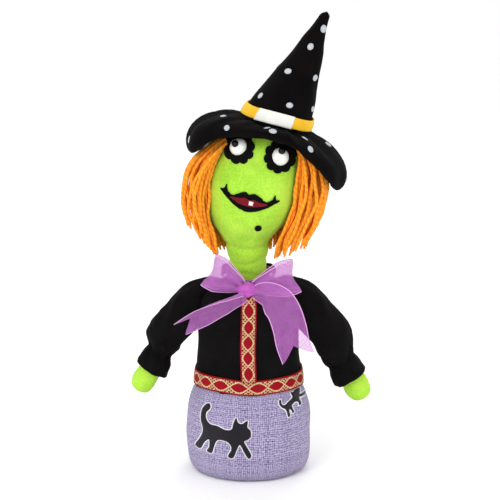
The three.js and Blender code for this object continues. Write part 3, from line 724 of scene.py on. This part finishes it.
# Wool felt is matted, with no shine at all. Satin stitch is smooth thread, so it shines softly.
black_felt = plain_cloth("black wool felt", ("#050405", "#0f0d0e"), 0.3, 0.98, 0.7, 0.01, 0.1)
LASH_RADIUS = 11.6
LASH_LOBES = 10


def on_face(name, outline, centre, lift, thick, material, cell, fuller, slot, node):
    piece = laid_on(name, face, tilted(outline, centre), lift, thick, material, cell, fuller)
    sewn_on(piece, "head", slot, node)


def scalloped(radius, lobes):
    outline = []
    for i in range(lobes * 8):
        angle = math.tau * i / (lobes * 8)
        reach = radius * (0.86 + 0.14 * abs(math.sin(angle * lobes / 2)) ** 0.7)
        outline.append((reach * math.cos(angle), reach * math.sin(angle)))
    return outline


for side in ("left", "right"):
    centre = middle_of(f"eye_white_{side}")
    on_face(f"scalloped_felt_{side}", scalloped(LASH_RADIUS, LASH_LOBES), (centre.x, centre.z), 0.1, 1.1,
            black_felt, 1.1, 0.0, "black_felt", f"lash_felt_{side}")

MOUTH = (0.2, 208.9)
UPPER_LIP = [(-21.1, 3.6), (-18.4, 4.4), (-17.3, 7.6), (-16, 3.8), (-11.8, 1.6), (-7.9, 3.8), (-3.9, 5.6),
             (-0.4, 4.3), (3.2, 5.6),
             (7.7, 3.8), (11.8, 1.6), (16, 3.8), (17.3, 7.6), (18.4, 4.4), (21.1, 3.8)]
LOWER_LIP = [(18.2, 1.6), (14.1, -1.8), (8.5, -5.4), (2.3, -7.6), (-2.8, -7.5), (-8.8, -5), (-14.1, -1.6),
             (-18.2, 1.4)]


def closed_line(points, count):
    """A smooth closed outline through the points."""
    ring = [points[-1], *points, points[0]]
    span = len(ring) - 1
    return [tuple(drawn_through(ring, (1 + (span - 1) * i / count) / span)) for i in range(count)]


MOUTH_OPENING = [(-13.2, 0.4), (-7.5, 1), (-2.8, 1.8), (0, 0.9), (3, 1.6), (8.5, 0.6), (13.2, 0.4),
                 (8.8, -1.9), (2.3, -3.4), (-5.6, -2.8)]
TOOTH = [(0.2, 0.6), (3.4, 0.4), (3.2, -2.2), (0.4, -2.2)]
MOLE_RADIUS = 2.2
MOLE_TURNS = [math.tau * i / 20 for i in range(20)]
MOLE = [(MOLE_RADIUS * math.cos(turn), MOLE_RADIUS * math.sin(turn)) for turn in MOLE_TURNS]
mole_at = (middle_of("mole").x, middle_of("mole").z)
red_satin = plain_cloth("dark red satin stitch", ("#5a0714", "#860c1e"), 0.2, 0.7, 0.5, 0.05, 0.15)
white_felt = plain_cloth("white felt", ("#d9d8d2", "#f2f1ec"), 0.2, 0.9, 0.6)
lips_outline = closed_line([*UPPER_LIP, *LOWER_LIP], 110)
on_face("lips_stitched", lips_outline, MOUTH, 0.1, 0.6, black_felt, 0.9, 0.9, "black_felt", "lips")
mouth_outline = closed_line(MOUTH_OPENING, 56)
on_face("mouth_stitched", mouth_outline, MOUTH, 1.4, 0.7, red_satin, 0.9, 0.3, "red_felt", "mouth")
on_face("tooth_felt", TOOTH, MOUTH, 2.2, 0.8, white_felt, 0.9, 0.0, "tooth_white", "tooth")
on_face("mole_stitched", MOLE, mole_at, 0.1, 0.6, black_felt, 0.7, 0.9, "black_felt", "mole")

# Moulded eyes: a white plastic dome, and a glossy black bead set high on it so that the eyes look up.
eye_plastic, _, _ = finish_named(
    "white moulded ABS", Base_Color=paint("#eef0ea"), Roughness=0.28, IOR=1.53, Coat_Weight=0.3)
bead_plastic, _, _ = finish_named(
    "black glossy acrylic", Base_Color=paint("#060606"), Roughness=0.12, IOR=1.49, Specular_IOR_Level=0.22)
EYE_RADIUS = 6.3
BEAD_RADIUS = 2.5
BEAD_SUNK = 0.4
BEAD_SHIFT = {"left": (-1.7, 0, 1.4), "right": (0, 0, 1.6)}


def dome(name, centre, radius, material, node, slot):
    shape = bmesh.new()
    bmesh.ops.create_uvsphere(shape, u_segments=40, v_segments=24, radius=radius * MM)
    bmesh.ops.rotate(shape, verts=shape.verts, matrix=Matrix.Rotation(math.pi / 2, 3, "X"))
    bmesh.ops.translate(shape, verts=shape.verts, vec=centre * MM)
    sewn_on(shown(name, shape, material), "head", slot, node)


for side in ("left", "right"):
    white = middle_of(f"eye_white_{side}")
    white.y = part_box(f"eye_white_{side}")[0].y / MM + EYE_RADIUS
    dome(f"eye_dome_{side}", white, EYE_RADIUS, eye_plastic, f"eye_white_{side}", "eye_white")
    bead = middle_of(f"pupil_{side}") + Vector(BEAD_SHIFT[side])
    bead.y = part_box(f"pupil_{side}")[0].y / MM + BEAD_RADIUS + BEAD_SUNK
    dome(f"pupil_bead_{side}", bead, BEAD_RADIUS, bead_plastic, f"pupil_{side}", "black_bead")

# ---- Hat ----
# A tall pointed hat of black cotton with raised silver-white dots. The crown is stuffed, the brim is
# wadded and so soft that its two ends hang down. A yellow ribbon with a white felt panel goes round it.

HAT_BASE = Vector((19.2, 0, 260))
HAT_TILT = Matrix.Rotation(math.radians(15), 3, "Y")
HAT_DEPTH = 0.95
CROWN_EDGE = [(24.4, -8), (25.4, -1.4), (24.8, 4), (22.9, 12), (19.2, 25), (15.2, 38), (11.6, 51), (8.4, 62),
              (5.4, 71), (4, 78.5), (3.1, 82.6), (0, 85)]
CROWN_LEAN = 0.17


def on_hat(x, y, z):
    """Takes a point from the upright hat to the tilted one."""
    return HAT_TILT @ Vector((x, y, z)) + HAT_BASE


def crown_point(u, v):
    angle = math.tau * (u + 0.25)
    radius, height = drawn_through(CROWN_EDGE, v)
    radius = max(radius, 0)
    radius += 0.35 * min(radius / 8, 1) * folds(angle + height / 30, (3, 7, 11), 0.6)
    radius += min(radius / 10, 1) * 1.3 * lumps(angle, 1.7, height / 14, 1.1, 6.3)
    x = radius * math.cos(angle) + height * CROWN_LEAN
    return on_hat(x, radius * math.sin(angle) * HAT_DEPTH, height)


black_cotton = plain_cloth("black brushed cotton", ("#040303", "#0d0a0a"), 0.16, 0.95, 0.5, 0.01, 0.06)
crown = sewn("hat_crown_sewn", 120, 90, crown_point, (150, 90), black_cotton)
puffed(crown, 4, 0.8)
sewn_on(crown, "head", "hat_cotton", "hat_crown", "crown_stuffing")

BRIM_INNER = 22.5
BRIM_FRONT = 17
BRIM_BACK = 27
BRIM_SIDE = 51
BRIM_HALF_THICK = 4.8
BRIM_END_THICK = 2
BRIM_STEPS = 10


def brim_point(u, v):
    """u goes round the hat, v round the wadded roll: out along the top, and back underneath. The brim's
    slope grows from start, at the band, to end, at its edge, and is steeper behind and at the sides."""
    angle = math.tau * (u + 0.25)
    to_right = math.cos(angle)
    sideways = abs(to_right) ** 3
    behind = max(math.sin(angle), 0) * (1 - sideways)
    width = BRIM_FRONT + (BRIM_BACK - BRIM_FRONT) * behind + (BRIM_SIDE - BRIM_FRONT) * sideways
    start = math.radians(4 + 8 * behind + (8 + 6 * to_right) * sideways)
    end = math.radians(18 + 30 * behind + (99 - 5 * to_right) * sideways)
    late = 2 + 0.2 * to_right
    share = 0.5 - 0.5 * math.cos(math.tau * v)
    reach = drop = 0.0
    for i in range(BRIM_STEPS):
        slope = start + (end - start) * (share * (i + 0.5) / BRIM_STEPS) ** late
        reach += width * share / BRIM_STEPS * math.cos(slope)
        drop += width * share / BRIM_STEPS * math.sin(slope)
    slope = start + (end - start) * share ** late
    round_edge = math.sin(math.tau * v)
    thick = (BRIM_HALF_THICK + BRIM_END_THICK * sideways) * math.copysign(abs(round_edge) ** 0.6, round_edge)
    thick *= 0.55 + 0.45 * share
    thick *= 1 + 0.42 * lumps(angle, 3, share, 0.8, 1.9)
    out = BRIM_INNER + reach + thick * math.sin(slope)
    height = -3.2 - drop + thick * math.cos(slope) - 2 * share * max(-math.sin(angle), 0)
    height += (1.5 * math.sin(3 * angle + 0.6) + 1.0 * math.sin(5 * angle + 2)) * share
    height += 0.8 * folds(angle, (13, 19, 29), 0.8) * math.sin(math.pi * share)
    return on_hat(out * math.cos(angle), out * math.sin(angle) * HAT_DEPTH, height)


brim = sewn("hat_brim_sewn", 180, 48, brim_point, (300, 90), black_cotton)
puffed(brim, 4, 1.2)
sewn_on(brim, "head", "hat_cotton", "hat_brim")

BAND_FOOT = 1.5
BAND_WIDE = 8


def band_point(u, v):
    angle = math.tau * (u + 0.25)
    height = BAND_FOOT + BAND_WIDE * v
    radius = radius_at(CROWN_EDGE, height) + 1.1 + 0.4 * math.sin(math.pi * v)
    radius += 0.3 * folds(angle, (4, 9, 15), 0.3)
    x, y = radius * math.cos(angle) + height * CROWN_LEAN, radius * math.sin(angle) * HAT_DEPTH
    return on_hat(x, y, height + 0.5 * math.sin(3 * angle))


# Satin ribbon is smoother than the cotton under it, and catches the light.
yellow_satin = plain_cloth("golden yellow satin ribbon", ("#e2a504", "#ffcf18"), 0.1, 0.5, 0.4, 0.05)
band = sewn("hat_band_ribbon", 160, 8, band_point, (160, BAND_WIDE), yellow_satin)
with_modifier(band, "SOLIDIFY", thickness=0.8 * MM, offset=-1)
sewn_on(band, "head", "band_yellow", "hat_band")

PANEL_FROM, PANEL_TO = 0.39, 0.565
PANEL_FOOT, PANEL_TOP = -0.06, 1.06


def panel_point(u, v):
    x, y, z = band_point(PANEL_FROM + (PANEL_TO - PANEL_FROM) * u, PANEL_FOOT + (PANEL_TOP - PANEL_FOOT) * v)
    return x, y - 1.1, z


panel = sewn("hat_band_white_panel", 28, 8, panel_point, (26, BAND_WIDE), white_felt)
with_modifier(panel, "SOLIDIFY", thickness=1 * MM, offset=-1)
sewn_on(panel, "head", "band_white", "hat_band_panel")

# The dots are thick flocked print: low oval domes, stepped round the crown and the brim.
flock, flock_tree, flock_shader = finish_named(
    "silver-white flock", Base_Color=paint("#c9cdd4"), Roughness=0.6, Specular_IOR_Level=0.3)
flock_place = wire(flock_tree, "ShaderNodeTexCoord").outputs["Object"]
flock_grain = wire(flock_tree, "ShaderNodeTexNoise", {"Vector": flock_place, "Scale": 1800.0})
flock_tone = wire(flock_tree, "ShaderNodeMix", {0: flock_grain, 6: paint("#7f858f"), 7: paint("#dfe3e8")},
                  data_type="RGBA")
flock_tree.links.new(flock_tone.outputs[2], flock_shader.inputs["Base Color"])
DOT_SIZE = (2.8, 2.3, 0.7)
dots = bmesh.new()
chance = random.Random(7)
crown_skin, brim_skin = surface_of(crown), surface_of(brim)


def add_dot(surface_point, cloth, u, v):
    """Lays a dot flat on the cloth, at the point that u and v give."""
    here = Vector(surface_point(u, v))
    side_step = Vector(surface_point(u + 0.004, v)) - here
    up_step = Vector(surface_point(u, v + 0.006)) - here
    out = side_step.cross(up_step).normalized()
    x_axis = side_step.normalized()
    spin = Matrix.Rotation(chance.uniform(0, 3), 3, "Z")
    lie = Matrix((x_axis, out.cross(x_axis), out)).transposed() @ spin
    scale = Matrix.Diagonal(Vector(DOT_SIZE) * chance.uniform(0.88, 1.08) * MM)
    on_cloth = Matrix.Translation(cloth.find_nearest(here * MM)[0]) @ (lie @ scale).to_4x4()
    bmesh.ops.create_icosphere(dots, subdivisions=2, radius=1, matrix=on_cloth)


for surface_point, cloth, stray, rows in (
        (crown_point, crown_skin, 0.12, ((0.31, 6, 0.02), (0.46, 5, 0.03), (0.61, 3, 0.14), (0.75, 2, 0.08))),
        (brim_point, brim_skin, 0.15, ((0.2, 7, 0.03), (0.37, 9, 0.06)))):
    for v, count, start in rows:
        for i in range(count):
            add_dot(surface_point, cloth, start + (i + chance.uniform(-stray, stray)) / count, v)
dots_piece = shown("hat_dots", dots, flock)
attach(dots_piece, "head")

# ---- Hair ----
# Lengths of orange three-ply wool, tied under the hat brim in a left and a right bunch. Each strand
# bows out over the head, kinks where it was plied, and ends where it was cut.

HAIR_INSIDE = [(27, 252), (33, 241), (35.4, 226), (35.6, 208), (33, 194), (28, 180), (22.5, 164)]
HAIR_TOP, HAIR_FOOT = 250, 164
STRAND_RADIUS = 1.25
STRAND_COUNT = 130
STRAND_STEPS = 13
STRAND_SIDES = 5
PLY_TURN = 4.2


def plied_wool(name):
    """Dull fuzzy wool: ply lines wind round each strand, whose length runs along its own map."""
    material, tree, shader = finish_named(name, Roughness=0.95, Sheen_Weight=0.05, Specular_IOR_Level=0.1)
    strand_map = wire(tree, "ShaderNodeUVMap", uv_map="strand")
    split = wire(tree, "ShaderNodeSeparateXYZ", {0: strand_map})
    winding = wire(tree, "ShaderNodeMath", {0: split.outputs[0], 1: math.tau / PLY_TURN},
                   operation="MULTIPLY")
    around = wire(tree, "ShaderNodeMath", {0: split.outputs[1], 1: math.tau, 2: winding},
                  operation="MULTIPLY_ADD")
    # The ply wave colours the wool as well as raising it: painted light on the crown of each ply and painted
    # shade in the groove between plies.
    wave = wire(tree, "ShaderNodeMath", {0: around}, operation="SINE")
    place = wire(tree, "ShaderNodeTexCoord").outputs["Object"]
    fuzz = wire(tree, "ShaderNodeTexNoise", {"Vector": place, "Scale": 700.0, "Detail": 3.0})
    both = wire(tree, "ShaderNodeMath", {0: wave, 1: fuzz}, operation="ADD")
    share = wire(tree, "ShaderNodeMapRange", {0: both, 1: -1.0, 2: 1.2})
    cloth_look(tree, shader, share, "#ff8608", "#ffab34", both, 0.2, 0.6)
    return material


orange_wool = plied_wool("orange three-ply wool")


def strand_place(angle, out, layer, end, wool):
    """Where one strand lies, in mm: u goes round it and v down it, from under the hat to its cut end."""
    drift = wool.uniform(-5, 5)
    kink = wool.uniform(0.4, 1.2)
    phase = wool.uniform(0, 6)
    top = HAIR_TOP - wool.uniform(0, 4)

    def middle(v):
        height = top + (end - top) * v
        radius = radius_at(HAIR_INSIDE, height) + layer * min(1, 4 * v + 0.2)
        radius += out * math.sin(min(1, 2 * v) * math.pi / 2)
        radius += kink * math.sin(height / 4.5 + phase) * min(1, v * 3)
        turn = math.radians(angle + drift * v ** 1.5 + 1.4 * kink * math.sin(height / 6 + phase * 2))
        x = radius * math.cos(turn) + value_at(HEAD_LEAN, height)
        return Vector((x, radius * math.sin(turn) * HEAD_DEPTH, height))

    line = [middle(i / STRAND_STEPS) for i in range(STRAND_STEPS + 1)]

    def place(u, v):
        i = round(v * STRAND_STEPS)
        along = (line[min(i + 1, STRAND_STEPS)] - line[max(i - 1, 0)]).normalized()
        across = along.cross(Vector((0, 1, 0.3))).normalized()
        narrow = STRAND_RADIUS * (0.55 if i == STRAND_STEPS else 1)
        round_it = across * math.cos(math.tau * u) + along.cross(across) * math.sin(math.tau * u)
        return line[i] + round_it * narrow
    return place, sum((b - a).length for a, b in zip(line, line[1:]))


def bunch(name, from_angle, to_angle, flare, outer_end, seed, node):
    """The outermost strands stand flare mm out from the head, and end at the height outer_end."""
    wool = random.Random(seed)
    shape = bmesh.new()
    strand_map = shape.loops.layers.uv.new("strand")
    for i in range(STRAND_COUNT):
        share = (i + wool.uniform(-0.4, 0.4)) / STRAND_COUNT
        angle = from_angle + (to_angle - from_angle) * share
        layer = wool.choice((0, 0.25, 0.55, 0.9)) + wool.uniform(0, 0.1)
        end = HAIR_FOOT + (outer_end - HAIR_FOOT) * layer + wool.uniform(-2.5, 4)
        place, length = strand_place(angle, flare * layer, 0.4 + 4.2 * layer, end, wool)
        grid = bmesh.ops.create_grid(shape, x_segments=STRAND_SIDES, y_segments=STRAND_STEPS, size=0.5)
        made = grid["verts"]
        for face in {near for vert in made for near in vert.link_faces}:
            for corner in face.loops:
                corner[strand_map].uv = ((corner.vert.co.y + 0.5) * length, corner.vert.co.x + 0.5)
        for vert in made:
            vert.co = place(vert.co.x + 0.5, vert.co.y + 0.5) * MM
    bmesh.ops.remove_doubles(shape, verts=shape.verts, dist=0.01 * MM)
    sewn_on(shown(name, shape, orange_wool), "head", "orange_yarn", node)


bunch("hair_bunch_left", 215, 91, 10, 188, 11, "hair_left")
bunch("hair_bunch_right", -36, 89, 14, 171, 12, "hair_right")

# ---- Bow ----
# A 25 mm organza ribbon with satin edges goes round the neck and is tied in a bow in front: a tight knot,
# two open loops and two tails cut to swallowtails, the left one folded along its length.

RIBBON_WIDE = 25
SATIN_EDGE = 0.8
LOOP_SLACK = 2.25
TAIL_SLACK = 1.04


def sheer_ribbon(name, deep, pale, least_cover, most_cover):
    """Organza: fine even threads that let light through, and two dense satin edges that are paler, as a
    painted sheen.
    """
    material, tree, shader = finish_named(name, Roughness=0.42, Sheen_Weight=0.5, Sheen_Tint=paint("#ffd8ff"))
    cloth_map = wire(tree, "ShaderNodeUVMap", uv_map="cloth")
    split = wire(tree, "ShaderNodeSeparateXYZ", {0: cloth_map})
    middle = wire(tree, "ShaderNodeMath", {0: split.outputs[1], 1: RIBBON_WIDE / 2}, operation="SUBTRACT")
    off_middle = wire(tree, "ShaderNodeMath", {0: middle}, operation="ABSOLUTE")
    edge = wire(tree, "ShaderNodeMapRange",
                {0: off_middle, 1: RIBBON_WIDE / 2 - SATIN_EDGE, 2: RIBBON_WIDE / 2 - SATIN_EDGE + 0.2})
    threads = wire(tree, "ShaderNodeTexWave",
                   {"Vector": cloth_map, "Scale": 0.34, "Distortion": 1.2, "Detail": 1.0},
                   bands_direction="Y").outputs["Fac"]
    streak = wire(tree, "ShaderNodeTexNoise", {"Vector": cloth_map, "Scale": 0.16, "Detail": 3.0})
    shade = wire(tree, "ShaderNodeMath", {0: threads, 1: streak}, operation="ADD")
    share = wire(tree, "ShaderNodeMapRange", {0: shade, 1: 0.3, 2: 1.5})
    body = wire(tree, "ShaderNodeMix", {0: share, 6: paint(deep), 7: paint(pale)}, data_type="RGBA")
    # edge gives the satin edges the paler colour #e3a6e2: a painted sheen.
    cloth_look(tree, shader, edge, body.outputs[2], "#e3a6e2", threads, 0.15, 0.5)
    open_weave = wire(tree, "ShaderNodeMapRange", {0: threads, 3: least_cover, 4: most_cover})
    cover = wire(tree, "ShaderNodeMath", {0: open_weave, 1: edge}, operation="MAXIMUM")
    tree.links.new(cover.outputs[0], shader.inputs["Alpha"])
    return material


organza = sheer_ribbon("purple satin-edged organza", "#9c3aa6", "#d884da", 0.26, 0.46)
tight_organza = sheer_ribbon("purple organza drawn tight", "#9a2c9c", "#cc58c8", 0.96, 1.0)
knot_middle = middle_of("bow_knot")
knot_low, knot_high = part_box("bow_knot")


def ribbon_piece(name, columns, rows, place, length, node):
    piece = sewn(name, columns, rows, place, (length, RIBBON_WIDE), organza)
    with_modifier(piece, "SOLIDIFY", thickness=0.35 * MM, offset=0)
    sewn_on(piece, "torso", "purple_organza", node)
    return piece


def loop_place(root, tip, puff):
    """An open loop from the knot to its tip and back, pleated at the knot."""
    root, tip = Vector(root), Vector(tip)
    along = tip - root
    across = Vector((-along.z, 0, along.x)).normalized() * (1 if along.x > 0 else -1)

    def place(u, v):
        share = 0.5 - 0.5 * math.cos(math.tau * u)
        spread = 0.34 + 0.66 * min(1, share * 1.5) ** 0.8
        pleat = (1 - share) ** 1.5 * 1.8 * math.cos(math.tau * 2.5 * v)
        wave = 0.9 * math.sin(5 * v + 4 * u)
        point = root + along * share * (1 + 0.05 * math.cos(math.tau * v))
        point += across * (v - 0.5) * RIBBON_WIDE * spread
        point.y += -puff * math.sin(math.tau * u) * (0.35 + 0.65 * share) + pleat + wave * share
        return point
    return place


for side, root, tip, puff in (("left", (-4, -26.5, 145.5), (-27.5, -25.5, 157), 5.6),
                              ("right", (3.6, -26.5, 145), (33.2, -25.5, 153), 6)):
    length = LOOP_SLACK * (Vector(tip) - Vector(root)).length
    loop_point = loop_place(root, tip, puff)
    loop = ribbon_piece(f"ribbon_loop_{side}", 64, 28, loop_point, length, f"bow_loop_{side}")

TAILS = {
    "left": ([(-4, -30, 143), (-16, -34.5, 138), (-28, -36, 132.5), (-39, -34.5, 126.5),
              (-51, -31.5, 119)], 46, 0.4),
    "right": ([(4, -29.5, 143), (15, -33, 141), (24, -36, 132), (29, -37.5, 119), (31.5, -38, 107),
               (35.5, -38.5, 96)], 4, 0.1),
}
NOTCH = 11


def tail_place(line, twist, fold, length):
    """A tail that hangs along a line, turned by twist degrees, folded lengthways and cut to a swallowtail."""
    def place(u, v):
        reach = 1 - (NOTCH / length) * (1 - abs(2 * v - 1))
        at = u * reach
        here, ahead = drawn_through(line, min(at, 0.995)), drawn_through(line, min(at + 0.005, 1))
        along = (ahead - here).normalized()
        flat = Vector((along.z, 0, -along.x)).normalized()
        lean = math.radians(twist)
        across = flat * math.cos(lean) + Vector((0, -1, 0)) * math.sin(lean)
        lift = Vector((0, -1, 0)) * math.cos(lean) - flat * math.sin(lean)
        spread = 0.36 + 0.64 * min(1, at * 3.2) ** 0.8
        offset = (0.5 - v) * RIBBON_WIDE
        pleat = 1.6 * (1 - at) ** 2 * math.cos(math.tau * 2 * v)
        crease = abs(offset) * fold + pleat + math.sin(7 * at + 3 * v)
        return here + across * offset * spread * (1 - 0.3 * fold) + lift * crease
    return place


for side, (line, twist, fold) in TAILS.items():
    length = TAIL_SLACK * sum((Vector(b) - Vector(a)).length for a, b in zip(line, line[1:]))
    tail_point = tail_place(line, twist, fold, length)
    tail = ribbon_piece(f"ribbon_tail_{side}", 72, 28, tail_point, length, f"bow_tail_{side}")


def knot_point(u, v):
    """The knot: one turn of ribbon drawn tight, with pleats that run across it."""
    angle = math.tau * u
    end = math.sin(math.pi * v) ** 0.5
    pleats = 0.45 * math.cos(5 * angle + 2 * v) * end
    wide, deep, tall = (knot_high - knot_low) / 2 / MM
    waisted = 1 - 0.1 * math.cos(math.tau * v) - 0.06 * math.cos(math.tau * 3 * v)
    x = 1.4 * wide * (2 * v - 1)
    y = (deep * math.cos(angle) + pleats) * end * waisted
    z = (0.86 * tall * math.sin(angle) + pleats) * end * waisted
    return knot_middle.x + x, knot_middle.y - 0.8 + y, knot_middle.z + z


knot = sewn("ribbon_knot", 48, 30, knot_point, (34, RIBBON_WIDE), tight_organza)
sewn_on(knot, "torso", "purple_organza", "bow_knot")

ring_low, ring_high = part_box("neck_ribbon")
RING_RADIUS = (ring_high.x - ring_low.x) / 2 / MM


def neck_ribbon_point(u, v):
    """Two soft folds run round it, and it dips in front, behind the knot."""
    angle = math.tau * (u + 0.25)
    height = ring_low.z / MM - 0.5 + 8 * v
    radius = RING_RADIUS - 0.2 + 0.9 * math.sin(math.tau * 1.5 * v + 2 * math.sin(2 * angle))
    radius += 0.5 * folds(angle, (5, 9, 13), 0.2)
    front = max(0, -math.sin(angle)) ** 3
    return radius * math.cos(angle), radius * math.sin(angle) * (1 + 0.25 * front), height - 4.5 * front


RING_ROUND = math.tau * RING_RADIUS
neck_ribbon = ribbon_piece("ribbon_round_neck", 120, 16, neck_ribbon_point, RING_ROUND, "neck_ribbon")

# ---- Printed cats ----
# The linen is printed with black cats, each with a thin white edge. The print is thin dull ink, so it is
# laid on as flat shapes that bend with the skirt.

EDGE_WIDE = 0.75
INK_THICK = 0.08
CAT = [(-19, 3), (-18, 8), (-15.5, 10), (-15, 15), (-11.5, 12), (-8.5, 12.4), (-6.5, 15.6), (-5, 10.6),
       (-4.4, 6.5), (0, 5.2), (6, 6.4), (11, 6), (14.4, 8.6), (15, 13), (12.6, 17), (13.4, 20),
       (16.2, 18.6), (18.6, 13.4), (18.2, 6), (15.8, 0.4), (16.6, -6), (19.4, -13), (19.2, -15.4),
       (15.4, -15.2), (13.4, -9.4), (10.4, -5.6), (9.6, -11.4), (11, -15), (7, -15.4), (6, -9),
       (4, -3.8), (-3, -3.6), (-6.4, -8), (-4.6, -14.4), (-8.6, -14.8), (-10.4, -8), (-12, -4),
       (-15.6, -9), (-19.6, -13.6), (-21.4, -11), (-18, -5.8), (-14.6, -1.2), (-16.8, 0.4)]
print_black = plain_cloth("black textile print", ("#0d0b10", "#1d1a22"), 0.15, 0.85, 0.9)
print_white = plain_cloth("white textile print", ("#d6d2de", "#f0eef4"), 0.15, 0.85, 0.9)


def grown(outline, by):
    """The outline pushed outwards by so many mm at each of its points."""
    wider = []
    for i, point in enumerate(outline):
        before, after = Vector(outline[i - 1]), Vector(outline[(i + 1) % len(outline)])
        step = (after - before).normalized()
        wider.append((point[0] + step.y * -by, point[1] + step.x * by))
    return wider


linen_face = surface_of(skirt)
# Where each cat is printed, its size, how far it is tipped over, if it is mirrored, and the side it is on.
CATS = [((-17.5, 36), 1.0, -8, True, 0), ((32, 58), 0.42, 35, True, 0), ((2, 34), 0.85, 10, True, 116),
        ((0, 38), 0.95, -12, False, 180), ((-4, 33), 0.85, -6, False, 244)]
for number, ((x, z), size, tip_over, mirrored, turn) in enumerate(CATS):
    swing = Matrix.Rotation(math.radians(tip_over), 2)
    wide = -size if mirrored else size
    outline = [swing @ Vector((px * wide, pz * size)) + Vector((x, z)) for px, pz in closed_line(CAT, 120)]
    if mirrored:
        outline.reverse()
    outline = [(px, min(pz, SKIRT_TOP - 1)) for px, pz in outline]
    for layer, shape_line, lift, colour in (("edge", grown(outline, EDGE_WIDE), 0.12, print_white),
                                            ("body", outline, 0.3, print_black)):
        printed = laid_on(f"cat_{layer}_{number}", linen_face, shape_line, lift, INK_THICK, colour,
                          cell=1.6, turn=turn)
        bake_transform(printed)
